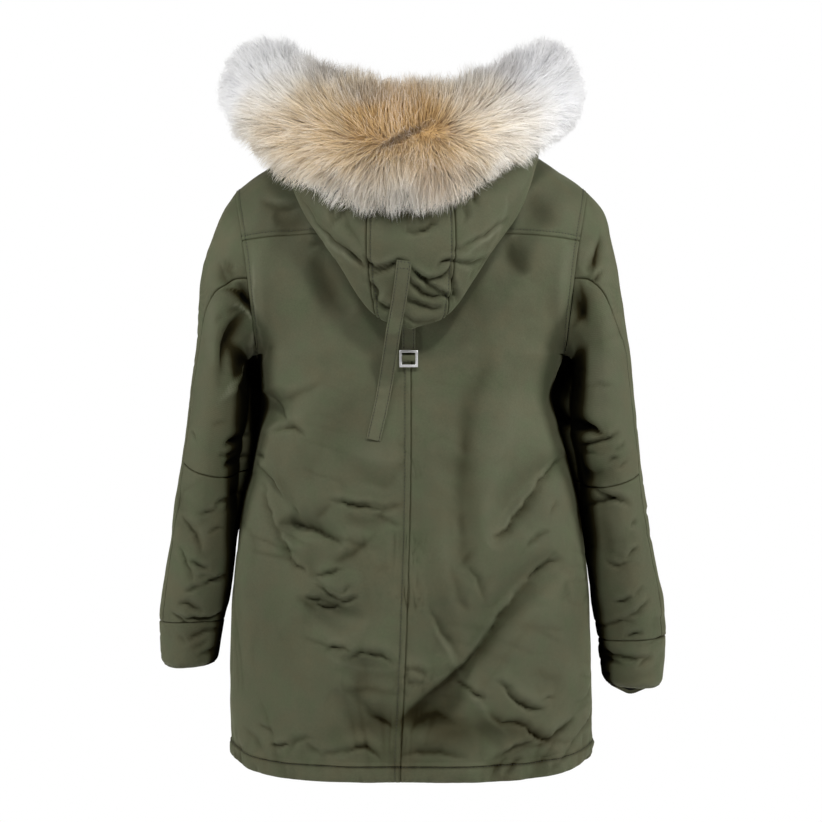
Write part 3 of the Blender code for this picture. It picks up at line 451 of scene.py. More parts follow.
backFolds = [               # broad folds, as in the frame
    (-175, -515, -65, -650, 10, 34, 26, -9, 1.7, 0.3),
    (-65, -650, 5, -712, -6, 26, 26, -8, 2, 0.2),
    (-185, -540, -85, -672, 10, 26, 26, 6, 2, 0),
    (-190, -385, -105, -480, 8, 26, 20, -6, 1.7, 0.4),
    (-60, -565, -12, -640, 0, 30, 30, -4, 2, 0),
    (165, -465, 90, -487, -5, 20, 20, -6, 2, 0.3),
    (190, -405, 150, -505, -8, 22, 22, -5, 2, 0),
    (125, -560, 60, -585, 4, 20, 20, -6, 2, 0.2),
    (85, -640, 25, -655, 0, 20, 20, -5, 2, 0.3),
    (185, -300, 165, -345, -4, 22, 22, -5, 2, 0),
    (95, -680, 20, -725, 5, 24, 24, -5, 2, 0),
]
backCreases = fromPhoto(0.125, [
    # left half, from the gap under the arm downwards
    ([(262, 397), (277, 420)], 2.5, 3.5, -2.6, 1.3, 0.3),
    ([(260, 434), (272, 420)], 6, 7, 1.6, 1.6),
    ([(270, 430), (285, 428), (302, 435)], 7, 2.8, -4.6, 1.4, 0.2),
    ([(253, 454), (261, 460)], 3, 3, -2.2, 1.3, 0.3),
    ([(254, 465), (273, 497)], 2.6, 3.4, -3.0, 1.3, 0.4),
    ([(287, 508), (294, 515)], 3, 3, -2.2, 1.3, 0.3),
    ([(256, 488), (261, 512), (272, 534)], 2.6, 3.6, -3.2, 1.3, 0.4),
    ([(270, 530), (278, 545), (291, 565)], 2.8, 3.8, -3.6, 1.3, 0.4),
    ([(289, 563), (305, 573)], 3, 4, -4.0, 1.3, 0.4),
    ([(277, 524), (308, 531), (339, 544)], 7.5, 3, -5.6, 1.3, 0.2),
    ([(333, 501), (355, 506), (382, 509)], 3.6, 2.6, -4.7, 1.2, 0.4),
    ([(379, 514), (403, 503)], 4, 6, -2.2, 1.4, 0.3),
    ([(374, 515), (399, 525)], 4, 5, -2.4, 1.4, 0.3),
    ([(333, 564), (352, 554), (373, 537)], 8, 8, -3.4, 1.6),
    ([(316, 577), (342, 570)], 4, 3.2, -3.8, 1.3, 0.4),
    ([(315, 518), (331, 506)], 6, 7, -2.0, 1.6),
    ([(271, 400), (290, 396), (320, 383)], 4, 9, -1.8, 1.4, 0.3),
    ([(372, 395), (330, 440), (292, 500)], 26, 30, -1.2, 2),
    ([(395, 430), (372, 480)], 22, 24, 0.7, 2),
    ([(317, 586), (343, 603)], 3, 3.2, -4.0, 1.2, 0.4),
    ([(341, 603), (357, 596)], 3, 3.6, -3.7, 1.2, 0.4),
    ([(343, 594), (350, 586)], 3, 3, -2.0, 1.3, 0.2),
    ([(305, 599), (319, 600)], 2.8, 2.8, -3.2, 1.3, 0.4),
    ([(311, 605), (324, 608), (338, 606)], 3.2, 3.0, -3.9, 1.2, 0.3),
    ([(298, 600), (314, 612)], 5, 4, -2.6, 1.4, 0.2),
    ([(300, 622), (292, 650), (300, 690)], 16, 18, -0.8, 2),
    ([(327, 651), (338, 648), (351, 651)], 4, 2.5, -3.8, 1.2, 0.4),
    ([(349, 659), (363, 652)], 4.5, 2.5, -4.0, 1.2, 0.4),
    ([(361, 652), (376, 655), (393, 662)], 5.5, 2.6, -4.6, 1.2, 0.4),
    ([(330, 656), (352, 668), (395, 668)], 5, 9, 1.8, 1.6),
    ([(344, 690), (365, 708), (393, 729)], 13, 5, -1.6, 1.7),
    ([(346, 692), (370, 690), (396, 694)], 7, 9, -3.0, 1.7),
    ([(366, 714), (392, 728)], 5, 4, -3.2, 1.4, 0.2),
    ([(257, 729), (271, 736)], 3, 4, -2.6, 1.4, 0.3),
    ([(243, 735), (262, 755)], 6, 7, -2.2, 1.6),
    ([(270, 750), (287, 747)], 3.6, 2.8, -4.2, 1.3, 0.4),
    ([(288, 754), (300, 741), (312, 739)], 6, 5, -3.0, 1.5),
    ([(305, 745), (320, 757)], 5, 5, -2.8, 1.5, 0.2),
    ([(345, 753), (360, 748), (379, 756)], 6, 2.8, -4.8, 1.3, 0.3),
    ([(322, 757), (350, 748)], 4, 5, -2.6, 1.4, 0.2),
    # right half
    ([(482, 375), (469, 405), (465, 450)], 17, 16, -1.9, 2),
    ([(465, 440), (461, 485), (462, 530)], 17, 16, -2.1, 2),
    ([(462, 520), (463, 550), (470, 580)], 14, 13, -1.7, 2),
    ([(516, 400), (500, 450), (484, 520)], 18, 18, 1.1, 2),
    ([(567, 461), (553, 477), (539, 495)], 2.8, 3, -4.0, 1.3, 0.4),
    ([(543, 491), (527, 510), (511, 528)], 3.2, 6, -5.4, 1.2, 0.4),
    ([(515, 525), (507, 532), (496, 539)], 3, 4, -4.4, 1.2, 0.4),
    ([(560, 503), (552, 517)], 3, 4, -2.0, 1.4, 0.2),
    ([(551, 534), (541, 538), (530, 550)], 4.5, 3.2, -3.2, 1.4, 0.3),
    ([(562, 563), (548, 569), (537, 580)], 3.2, 5, -3.8, 1.3, 0.4),
    ([(541, 577), (530, 589), (516, 605)], 3, 7, -3.4, 1.3, 0.4),
    ([(520, 601), (508, 614), (494, 633)], 3, 9, -4.8, 1.2, 0.4),
    ([(498, 628), (483, 648), (464, 668)], 3.2, 17, -5.2, 1.3, 0.4),
    ([(468, 664), (452, 677), (432, 694)], 3.6, 17, -4.8, 1.3, 0.3),
    ([(436, 691), (420, 704), (400, 722)], 6, 16, -3.6, 1.5),
    ([(462, 702), (440, 712), (410, 722)], 17, 13, -1.3, 2),
    ([(452, 722), (436, 717), (412, 731)], 5, 4, -3.0, 1.5, 0.2),
    ([(433, 625), (448, 650), (461, 675)], 4, 6, 2.0, 1.6),
    ([(461, 673), (480, 705), (504, 732)], 5, 7, 2.6, 1.6),
    ([(430, 608), (442, 632), (459, 655)], 5, 4, -2.6, 1.5),
    ([(451, 568), (457, 590), (467, 611)], 9, 8, -2.0, 1.8),
    ([(470, 568), (478, 582), (486, 601)], 5, 3, -2.6, 1.4, 0.2),
    ([(459, 684), (470, 690), (482, 698)], 4, 3, -6.4, 1.2, 0.3),
    ([(495, 680), (505, 688), (514, 699)], 4.5, 3.2, -3.2, 1.4, 0.3),
    ([(511, 696), (524, 708), (543, 712)], 6.5, 3, -6.0, 1.2, 0.4),
    ([(484, 711), (494, 719), (505, 725)], 5, 4, -2.8, 1.4, 0.2),
    ([(503, 725), (514, 723), (533, 736)], 5.5, 3, -4.2, 1.3, 0.4),
    ([(530, 733), (542, 742), (555, 745)], 7.5, 3, -6.2, 1.2, 0.3),
    ([(551, 745), (563, 739), (577, 726)], 7, 4, -5.2, 1.3, 0.3),
    ([(541, 702), (556, 701)], 3, 3, -2.4, 1.3, 0.3),
    ([(474, 727), (488, 738), (502, 752)], 14, 12, -1.4, 2),
    ([(404, 755), (430, 753), (462, 758)], 8, 3.2, -3.4, 1.5, 0.2),
    ([(497, 759), (517, 750), (538, 742)], 3.2, 5, -4.0, 1.3, 0.4),
    ([(516, 755), (545, 748), (575, 748)], 4, 5, -2.6, 1.4, 0.2),
    ([(405, 667), (416, 670), (427, 677)], 4.5, 3, -3.0, 1.4, 0.3),
    ([(405, 682), (421, 684)], 4, 3, -2.2, 1.4, 0.2),
    ([(493, 777), (500, 766), (508, 760)], 4, 3, -2.8, 1.5),
    ([(507, 775), (514, 767), (523, 761)], 4, 3, -2.8, 1.5),
    ([(540, 768), (560, 757)], 4, 4, -2.0, 1.5),
    ([(590, 590), (584, 680)], 16, 18, -0.8, 2),
])
backCreases += [            # yoke and the top of the back
    (186, -57, 140, -63, 5, 4, 8, -4.0, 1.2, 0.5),
    (170, -76, 130, -90, 3, 14, 14, -3.0, 1.8, 0),
    (128, -114, 108, -109, 0, 4, 6, -2.4, 1.2, 0.4),
    (116, -128, 80, -198, 5, 18, 18, -3.0, 2, 0),
    (-150, -50, -175, -90, 4, 20, 20, -2.6, 2, 0),
    (-120, -112, -142, -150, 4, 15, 15, -3.0, 1.9, 0),
    (196, -120, 188, -210, 3, 14, 14, 2.0, 2, 0),
    (-196, -120, -190, -205, 3, 14, 14, 2.0, 2, 0),
]
frontCreases = [
    (150, -300, 60, -330, 6, 18, 22, -4.0, 1.6, 0.3),
    (190, -360, 110, -445, 8, 8, 16, -4.6, 1.2, 0.4),
    (175, -480, 90, -510, -5, 6, 12, -4.2, 1.2, 0.4),
    (120, -560, 60, -575, 4, 5, 10, -3.6, 1.2, 0.4),
    (205, -610, 130, -690, 7, 10, 18, -4.6, 1.3, 0.3),
    (110, -650, 60, -735, 4, 20, 18, -3.4, 2, 0),
    (140, -745, 80, -752, 3, 5, 7, -2.6, 1.3, 0.4),
    (100, -180, 150, -235, 6, 18, 18, -3.0, 2, 0),
    (-185, -350, -110, -430, 8, 7, 15, -4.6, 1.2, 0.4),
    (-160, -455, -70, -475, -6, 6, 12, -4.0, 1.2, 0.4),
    (-190, -520, -95, -600, 8, 9, 18, -5.0, 1.2, 0.4),
    (-95, -600, -45, -690, -5, 20, 18, -4.0, 1.8, 0),
    (-140, -640, -75, -655, 3, 5, 9, -3.6, 1.2, 0.5),
    (-205, -690, -150, -740, 5, 7, 10, -3.4, 1.3, 0.4),
    (-130, -748, -70, -742, -3, 5, 7, -2.6, 1.3, 0.4),
    (-110, -190, -160, -250, 6, 18, 18, -3.0, 2, 0),
    (-60, -120, -150, -80, 8, 24, 24, -2.6, 2, 0),
    (60, -110, 160, -70, 8, 24, 24, -2.6, 2, 0),
]
leftSleeveCreases = fromPhoto(0.07, [
    ([(219, 265), (224, 278), (233, 288)], 6, 9, -4.4, 1.5),
    ([(224, 262), (236, 268)], 4, 8, -3.0, 1.6),
    ([(241, 286), (248, 300), (254, 316)], 9.5, 9, -8.5, 1.8),
    ([(236, 304), (246, 311), (256, 323)], 2.6, 2.6, 3.4, 1.5),
    ([(229, 314), (242, 307)], 5, 6, -4.0, 1.5),
    ([(216, 322), (226, 318)], 4, 5, -1.8, 1.5),
    ([(245, 312), (231, 338), (224, 366)], 9.5, 9.5, -8.5, 1.8),
    ([(226, 358), (220, 386)], 9, 9, -2.6, 1.8),
    ([(255, 328), (246, 354), (238, 376)], 2.6, 4.5, 3.2, 1.5),
    ([(240, 370), (232, 391), (222, 399)], 2.6, 3.6, 3.0, 1.5),
    ([(213, 424), (226, 422)], 3, 3.6, -2.2, 1.5, 0.2),
    ([(190, 432), (197, 440)], 3, 3, -2.2, 1.4, 0.3),
    ([(225, 447), (233, 440), (243, 436)], 5, 3.4, -5.6, 1.3, 0.3),
    ([(219, 457), (234, 452)], 4, 3.4, -3.4, 1.4, 0.3),
    ([(222, 467), (243, 457)], 6, 4, -4.6, 1.4, 0.2),
    ([(213, 503), (225, 500)], 3.4, 3, -3.6, 1.3, 0.3),
    ([(198, 513), (207, 513), (216, 509)], 3, 3, -3.2, 1.3, 0.3),
    ([(207, 533), (220, 529)], 3, 3, -2.6, 1.4, 0.3),
    ([(180, 519), (190, 531), (200, 552)], 6, 2.8, -4.2, 1.3, 0.4),
    ([(176, 550), (184, 566), (190, 583)], 4.5, 2.8, -3.4, 1.3, 0.4),
    ([(189, 562), (205, 572)], 4, 2.8, -4.2, 1.3, 0.4),
    ([(201, 588), (210, 584), (221, 579)], 4, 3, -4.6, 1.3, 0.4),
    ([(196, 580), (209, 577)], 3, 3, -2.4, 1.4, 0.3),
    ([(183, 593), (200, 589)], 3.4, 3, -3.4, 1.3, 0.4),
    ([(176, 607), (186, 609), (197, 615)], 6.5, 3, -4.4, 1.3, 0.3),
    ([(182, 622), (200, 623), (215, 620)], 3, 3, -4.8, 1.2, 0.4),
    ([(166, 618), (175, 622), (186, 630)], 3.4, 3, -3.2, 1.3, 0.5),
    ([(185, 646), (197, 639), (211, 636)], 5, 3, -4.4, 1.3, 0.3),
    ([(189, 654), (204, 647)], 4, 3, -3.4, 1.4, 0.3),
    ([(195, 663), (209, 655)], 5, 4, -3.0, 1.4, 0.2),
    ([(174, 640), (182, 650)], 5, 5, -2.0, 1.6),
])
rightSleeveCreases = fromPhoto(0.07, [
    ([(603, 240), (597, 256), (586, 271)], 7, 9, -6.0, 1.5, 0.2),
    ([(588, 284), (604, 273)], 4, 3.4, -4.0, 1.3, 0.3),
    ([(571, 290), (576, 308), (584, 324)], 9, 9.5, -6.0, 1.8),
    ([(587, 386), (611, 385)], 3, 4, -1.8, 1.5, 0.2),
    ([(556, 414), (575, 424), (601, 434)], 9.5, 6, -7.5, 1.5, 0.2),
    ([(573, 424), (600, 433)], 5, 4, -4.0, 1.3, 0.2),
    ([(583, 444), (602, 441), (616, 434)], 4, 3, -5.0, 1.3, 0.4),
    ([(614, 452), (624, 443)], 3, 3, -2.8, 1.3, 0.3),
    ([(607, 462), (617, 457)], 3.4, 3, -3.0, 1.4, 0.3),
    ([(617, 468), (627, 463)], 3, 3, -2.8, 1.4, 0.3),
    ([(595, 490), (612, 499), (630, 504)], 5, 3, -5.2, 1.3, 0.4),
    ([(594, 506), (604, 501), (614, 499)], 5.5, 3.2, -5.0, 1.3, 0.3),
    ([(631, 527), (639, 523)], 4, 3, -3.0, 1.4, 0.3),
    ([(627, 558), (639, 549)], 3.4, 3, -3.4, 1.3, 0.4),
    ([(608, 562), (618, 567), (629, 564)], 3.4, 3, -3.2, 1.4, 0.3),
    ([(618, 605), (626, 603), (634, 600)], 4, 3, -3.8, 1.3, 0.4),
    ([(629, 621), (641, 614), (651, 604)], 4, 3, -3.6, 1.3, 0.4),
    ([(636, 601), (645, 588)], 3, 4, -2.2, 1.5, 0.2),
    ([(608, 631), (620, 626), (635, 624)], 4, 3.4, -3.0, 1.4, 0.3),
    ([(630, 642), (645, 635)], 4, 3, -3.4, 1.3, 0.4),
    ([(604, 656), (628, 664), (651, 662)], 6, 3, -4.8, 1.3, 0.4),
    ([(605, 665), (626, 670)], 4.5, 3, -3.6, 1.3, 0.3),
    ([(642, 671), (657, 663)], 4, 3, -3.8, 1.3, 0.3),
    ([(611, 681), (615, 684)], 3, 3, -2.8, 1.4, 0.2),
    ([(604, 520), (612, 560)], 9, 12, -1.8, 1.8),
])
hoodCreases = fromPhoto(0.19, [
    ([(301, 197), (322, 232), (350, 256)], 3, 3.4, -2.8, 1.3),
    ([(346, 252), (358, 262), (372, 272)], 3, 4, -3.4, 1.3, 0.3),
    ([(297, 204), (320, 240), (345, 264)], 3, 3, 1.8, 1.5),
    ([(324, 232), (343, 250), (366, 265)], 5, 3, -3.0, 1.3, 0.3),
    ([(330, 228), (338, 217), (348, 206)], 3, 4, -2.8, 1.4, 0.5),
    ([(331, 221), (334, 205)], 3, 4, -2.4, 1.4, 0.4),
    ([(345, 212), (352, 232), (362, 247)], 4, 5, -2.2, 1.5),
    ([(365, 259), (374, 267), (386, 267)], 3, 3.4, -5.4, 1.2, 0.4),
    ([(384, 267), (396, 264), (408, 262)], 3, 3.4, -3.6, 1.2, 0.4),
    ([(371, 276), (386, 270), (397, 266)], 3.4, 4, -4.0, 1.3, 0.5),
    ([(368, 282), (376, 292), (374, 303)], 4, 4, -4.0, 1.4, 0.4),
    ([(375, 300), (388, 309), (400, 313)], 4, 4, -4.4, 1.3, 0.4),
    ([(411, 268), (428, 281), (452, 265)], 3, 5, -4.6, 1.3, 0.4),
    ([(414, 272), (427, 283), (446, 295)], 3, 6, -5.0, 1.3, 0.5),
    ([(409, 281), (424, 295), (443, 298)], 5, 4, -5.6, 1.3, 0.4),
    ([(405, 297), (418, 305), (440, 308)], 4, 5, -4.4, 1.4, 0.4),
    ([(443, 292), (455, 298), (457, 291)], 4, 4, -3.6, 1.4, 0.3),
    ([(436, 268), (446, 262), (454, 262)], 3, 3, -4.0, 1.3, 0.4),
    ([(450, 263), (470, 263), (490, 257)], 3, 4, -3.4, 1.3, 0.6),
    ([(453, 252), (478, 240), (506, 219)], 3, 4, -3.4, 1.3, 0.5),
    ([(462, 249), (482, 240), (503, 226)], 4, 4, 2.2, 1.5),
    ([(407, 235), (421, 232), (436, 224)], 4, 3, -3.8, 1.3, 0.3),
    ([(462, 200), (466, 215), (463, 225)], 3, 4, -2.2, 1.4, 0.4),
    ([(470, 190), (478, 205)], 4, 4, -2.6, 1.4, 0.4),
    ([(450, 275), (455, 290), (462, 306)], 3, 4, -3.4, 1.4, 0.4),
    ([(402, 315), (428, 323), (455, 312)], 3, 3, -3.8, 1.3, 0.4),
    ([(470, 280), (478, 268), (488, 262)], 4, 5, -1.8, 1.6),
])


# Painted shade and painted light where the cloth is shaded or lit without a rise: the same columns, with the
# shade as the height

backShades = fromPhoto(0.125, [
    # painted brown shade above the hem
    ([(340, 742), (405, 752), (480, 744)], 30, 24, -2.8, 2),    # brown above the hem
    ([(402, 726), (440, 706), (470, 684)], 16, 22, -2.6, 2),
    ([(480, 716), (515, 734), (552, 742)], 14, 16, -2.2, 2),
    ([(253, 266), (253, 305), (257, 344)], 1.8, 1.8, 5, 1.5),
    ([(262, 345), (256, 385), (268, 408)], 1.6, 1.6, 4, 1.5),
    ([(344, 262), (365, 300), (398, 325)], 12, 14, -2.4, 1.8),
    ([(484, 262), (470, 300), (430, 325)], 12, 14, -2.6, 1.8),
    ([(478, 300), (487, 345), (480, 392)], 16, 16, -1.6, 2),
    ([(466, 395), (468, 470), (478, 540)], 12, 12, -1.5, 2),
    ([(325, 735), (400, 722), (480, 738)], 24, 20, -3.4, 1.8),
    ([(345, 690), (385, 676), (408, 690)], 18, 18, -1.6, 1.8),
    ([(430, 742), (500, 724), (560, 735)], 22, 16, -2.6, 1.8),
    ([(255, 560), (262, 640), (258, 720)], 40, 40, -0.9, 2),
    ([(575, 520), (580, 620), (575, 720)], 30, 30, -0.9, 2),
    ([(418, 520), (440, 600), (455, 650)], 16, 16, -0.9, 2),
    ([(445, 520), (452, 590), (470, 640)], 10, 10, 0.9, 2),
    ([(300, 470), (360, 455), (400, 470)], 26, 20, 0.7, 2),
    ([(268, 218), (290, 228), (300, 240)], 12, 12, 0.9, 2),
    ([(548, 226), (570, 240), (572, 262)], 10, 10, 0.9, 2),
])
leftSleeveShades = fromPhoto(0.07, [
    ([(222, 268), (229, 272), (234, 282)], 7, 7, -3.6, 1.8),
    ([(226, 290), (240, 293), (254, 312)], 5, 9, -11, 1.6),
    ([(236, 305), (247, 312), (258, 324)], 1.7, 1.7, 8, 1.5),
    ([(246, 316), (235, 336), (223, 362)], 8, 8, -5, 1.8),
    ([(253, 331), (243, 366), (222, 398)], 1.6, 1.6, 8, 1.5),
    ([(262, 350), (256, 400), (246, 460)], 9, 9, -9, 1.8),
    ([(215, 300), (210, 330), (212, 360)], 12, 12, 1.4, 2),
])
rightSleeveShades = fromPhoto(0.07, [
    ([(601, 236), (597, 256), (588, 279)], 5, 5, -5, 1.8),
    ([(579, 284), (583, 300), (574, 326)], 9, 9, -9, 1.8),
    ([(592, 335), (598, 375), (600, 425)], 18, 18, 2.4, 2),
    ([(556, 414), (580, 425), (604, 435)], 3.5, 5, -6, 1.6),
    ([(603, 470), (612, 500), (618, 560)], 14, 14, 1.0, 2),
])
hoodShades = fromPhoto(0.19, [
    ([(304, 208), (326, 240), (356, 264)], 2.6, 2.6, 4, 1.6),
    ([(458, 258), (480, 244), (502, 222)], 3.2, 4, 3.4, 1.6),
    ([(508, 196), (500, 228), (488, 254)], 2.4, 2.4, 2.4, 1.6),
    ([(378, 268), (400, 290), (440, 300)], 14, 12, -1.6, 1.8),
    ([(460, 262), (474, 270), (482, 262)], 5, 5, 1.6, 1.8),
])


def creaseHeight(x, z, creases, broad=creaseLook["broad"]):
    # heights, and how much painted shade (below zero) or painted light each place gets
    total, tone = np.zeros_like(x), np.zeros_like(x)
    lipHeight, lipAway, lipWidth = creaseLook["lip"]
    for crease in creases:
        row = dict(zip(creaseColumns, crease))
        runX, runZ = row["x2"] - row["x1"], row["z2"] - row["z1"]
        length = math.hypot(runX, runZ)
        runX, runZ = runX / length, runZ / length
        flip = 1 if runX > 0 or (runX == 0 and runZ < 0) else -1   # so that up is the higher side
        offsetX, offsetZ = x - row["x1"], z - row["z1"]
        far = offsetX * runX + offsetZ * runZ
        along = far / length
        bow = row["bow"] * 4 * along * (1 - along)
        fine = min(1, creaseLook["wavesUpTo"] / (row["up"] + row["down"]))
        for size, waveLength, start in creaseLook["waves"]:
            bow += fine * size * np.sin(far / waveLength + row[start])
        across = flip * (offsetZ * runX - offsetX * runZ - bow)
        reach = np.where(across > 0, row["up"], row["down"]) * creaseLook["reach"]
        spindle = np.clip((along + 0.1) / 1.2, 0, 1)    # a little longer than from end to end
        taper = np.sin(math.pi * spindle)**creaseLook["taper"]
        reach = np.maximum(reach * mix(creaseLook["endReach"], 1, taper), creaseLook["narrowest"])
        profile = np.exp(-(np.abs(across) / reach)**max(row["power"], creaseLook["bluntest"]))
        lip = lipHeight * np.exp(-((across - lipAway * row["up"]) / (lipWidth * row["up"]))**2)
        sharp = row["up"] < creaseLook["sharpUpTo"]
        depth = row["height"] * (creaseLook["height"] if sharp else broad)
        total += taper * depth * (profile - row["lip"] * lip)
        toneReach = np.maximum(creaseLook["toneReach"] * reach, creaseLook["toneLeast"])
        narrow = np.exp(-(np.abs(across) / toneReach)**creaseLook["tonePower"])
        shade = creaseLook["sharpTone" if sharp else "broadTone"] * row["height"]
        tone += taper * shade * ((narrow if sharp else profile) - row["lip"] * lip)
    return total, tone


def shadeOf(x, z, shades):
    return creaseHeight(x, z, shades)[1]


def toward(facing):
    return smoothStep(*creaseLook["facing"], facing)


# Finishes

class Finish:
    # a material, with short ways to add and link its nodes

    def __init__(self, name, roughness, metallic=0.0):
        self.material = bpy.data.materials.new(name)
        self.material.use_nodes = True
        tree = self.material.node_tree
        self.nodes, self.link = tree.nodes, tree.links.new
        self.shader = self.nodes["Principled BSDF"]
        self.place = self.nodes.new("ShaderNodeTexCoord").outputs
        self.put(self.shader, {"Roughness": roughness, "Metallic": metallic})

    def put(self, node, values):
        # numbers and colours go on the sockets themselves, the rest is linked
        for name, value in values.items():
            if isinstance(value, (int, float)):
                node.inputs[name].default_value = value
            elif isinstance(value, tuple):
                node.inputs[name].default_value = (*value, 1)
            else:
                self.link(value, node.inputs[name])

    def add(self, kind, values=None, **settings):
        node = self.nodes.new("ShaderNode" + kind)
        for name, value in settings.items():
            setattr(node, name, value)
        self.put(node, values or {})
        return node

    def noise(self, scale, detail=3.0, roughness=0.55):
        node = self.add("TexNoise", {"Vector": self.place["Object"], "Scale": scale, "Detail": detail,
                                     "Roughness": roughness})
        return node.outputs["Fac"]

    def ramp(self, value, *stops):
        node = self.add("ValToRGB", {"Fac": value})
        elements = node.color_ramp.elements
        while len(elements) < len(stops):
            elements.new(0.5)
        for element, (place, colour) in zip(elements, stops):
            element.position = place
            element.color = (*colour, 1)
        return node.outputs["Color"]

    def maths(self, operation, first, second):
        return self.add("Math", {0: first, 1: second}, operation=operation).outputs[0]

    def times(self, first, second):
        return self.maths("MULTIPLY", first, second)

    def mix(self, share, first, second, blend="MIX"):
        node = self.add("Mix", data_type="RGBA", blend_type=blend)
        self.put(node, {0: share, 6: first, 7: second})
        return node.outputs[2]

    def bump(self, height, strength, distance, under=None):
        node = self.add("Bump", {"Height": height, "Strength": strength, "Distance": distance})
        if under:
            self.link(under, node.inputs["Normal"])
        return node.outputs["Normal"]


black, white = (0, 0, 0), (1, 1, 1)
clothFinish = {
    "light": (0.09, 0.095, 0.052),
    "dark": (0.062, 0.065, 0.035),
    "blotches": (9.0, 4.0),     # scale, detail and roughness of each unevenness
    "mottle": (520.0, 3.0, 0.7),
    "hueChange": (26.0, 3.0, 0.6),
    "rumple": (75.0, 3.0, 0.5),
    "hues": [(0.3, (0.9, 1.0, 0.94)), (0.5, (0.97, 0.97, 0.97)), (0.7, (1.05, 0.97, 0.96))],
    "pitch": 0.00055,           # of the weave, in metres
    "weave": 0.13,
    # painted shade colour, near-black painted shade where it is deepest, painted highlight colour, and the
    # strengths of the painted shade and painted highlight
    "paintedShadeColour": (0.022, 0.018, 0.007),
    "hollow": (0.003, 0.003, 0.002),
    "paintedHighlightColour": (0.18, 0.185, 0.125),
    "shade": 0.95,
    "lift": 0.7,
    "roughness": 0.78,
    "sheen": 0.12,
    "sheenTint": (0.75, 0.8, 0.5),
    "specular": 0.28,
}


def clothMaterial(name, light, dark):
    # dense weave with a soft sheen, slightly uneven in tone, with painted shade and painted highlights read
    # from the fold attribute
    cloth = Finish(name, clothFinish["roughness"])
    tone = cloth.maths("ADD", cloth.times(cloth.noise(*clothFinish["blotches"]), 0.45),
                       cloth.times(cloth.noise(*clothFinish["mottle"]), 0.55))
    hues = cloth.ramp(cloth.noise(*clothFinish["hueChange"]), *clothFinish["hues"])
    plain = cloth.mix(1.0, cloth.ramp(tone, (0.32, dark), (0.68, light)), hues, "MULTIPLY")
    # the fold attribute holds painted shade (below zero) and painted light; the colour is mixed towards a
    # painted shade colour, a painted highlight colour and, where the painted shade is deepest, near black
    fold = cloth.add("Attribute", attribute_name="fold").outputs["Fac"]
    paintedShadeAmount = cloth.ramp(cloth.times(fold, -1.0), (0.0, black), (1.0, white))
    high = cloth.ramp(fold, (0.0, black), (1.0, white))
    hollow = cloth.ramp(cloth.times(fold, -0.5), (0.45, black), (0.9, white))
    shaded = cloth.mix(cloth.times(paintedShadeAmount, clothFinish["shade"]), plain, clothFinish["paintedShadeColour"])
    shaded = cloth.mix(cloth.times(high, clothFinish["lift"]), shaded, clothFinish["paintedHighlightColour"])
    shaded = cloth.mix(hollow, shaded, clothFinish["hollow"])
    weave = cloth.add("TexWave", {"Vector": cloth.place["UV"], "Scale": 1 / clothFinish["pitch"] / 6.28,
                                  "Distortion": 0.6, "Detail": 1.0},
                      wave_type="BANDS", bands_direction="DIAGONAL")
    # less sheen and specular where shade is painted
    unshaded = cloth.maths("SUBTRACT", 1.0, paintedShadeAmount)
    rumpled = cloth.bump(cloth.noise(*clothFinish["rumple"]), 0.5, 0.0012)
    cloth.put(cloth.shader, {
        "Base Color": cloth.mix(clothFinish["weave"], shaded, weave.outputs["Color"], "MULTIPLY"),
        "Sheen Weight": cloth.times(unshaded, clothFinish["sheen"]),
        "Specular IOR Level": cloth.times(unshaded, clothFinish["specular"]),
        "Sheen Roughness": 0.45,
        "Sheen Tint": clothFinish["sheenTint"],
        "Normal": cloth.bump(weave.outputs["Fac"], 0.35, 0.00012, rumpled),
    })
    return cloth.material


def patchyFinish(name, roughness, scale, low, high, detail=3.0, metallic=0.0):
    # two near tones in small patches
    finish = Finish(name, roughness, metallic)
    patches = finish.noise(scale, detail)
    finish.put(finish.shader, {"Base Color": finish.ramp(patches, (0.3, low), (0.7, high))})
    return finish, patches


def liningMaterial():
    finish = patchyFinish("dark_lining", 0.9, 60.0, (0.006, 0.006, 0.005), (0.012, 0.012, 0.01))[0]
    finish.put(finish.shader, {"Specular IOR Level": 0.1})
    return finish.material


def threadMaterial():
    # near-black thread, so that each stitch shows as the painted shadow of its needle holes
    dark, light = (0.006, 0.006, 0.004), (0.016, 0.016, 0.01)
    return patchyFinish("thread_painted_shadow", 0.6, 900.0, dark, light, 1.0)[0].material


def sliderMaterial():
    finish, rub = patchyFinish("slider_metal", 0.28, 400.0, (0.8, 0.8, 0.82), (0.95, 0.95, 0.97), 4.0, 0.6)
    finish.put(finish.shader, {"Normal": finish.bump(rub, 0.15, 0.0001)})
    return finish.material


furFinish = {
    "wool": (0.36, 0.24, 0.13),
    "paleRoot": (0.93, 0.94, 0.96),
    "pelt": (0.62, 0.55, 0.47),
    "crease": (0.13, 0.085, 0.045),
    "gold": (0.72, 0.48, 0.21),
    "tan": (0.75, 0.55, 0.28),
    "sand": (0.86, 0.74, 0.52),
    "cream": (0.98, 0.95, 0.88),
    "grey": (0.42, 0.38, 0.35),
    "patches": (14.0, 3.0),
    "through": 0.35,
    # a colour and its strength, then the middle, half width, half height and slope of each oval of it
    "spots": [
        ("cream", 1.0, [(0.02, 0.0, 0.22, 0.15)]),
        ("sand", 1.0, [(0.035, 0.014, 0.19, 0.11)]),
        ("tan", 1.0, [(0.035, 0.014, 0.15, 0.085)]),
        ("gold", 1.0, [(0.016, 0.034, 0.075, 0.055)]),
        ("cream", 0.45, [(0.0, -0.07, 0.16, 0.045)]),
        ("gold", 0.5, [(-0.035, -0.045, 0.04, 0.05)]),
        # painted shade between the wings and the middle of the ruff
        ("grey", 0.45, [(0.105, 0.1, 0.03, 0.024), (-0.11, 0.11, 0.035, 0.024), (0.06, 0.065, 0.04, 0.02)]),
        ("crease", 0.9, [(0.009, 0.008, 0.036, 0.0075, -0.53)]),
    ],
    "darkMiddle": (0.015, 0.03, 0.2, 0.1),
}


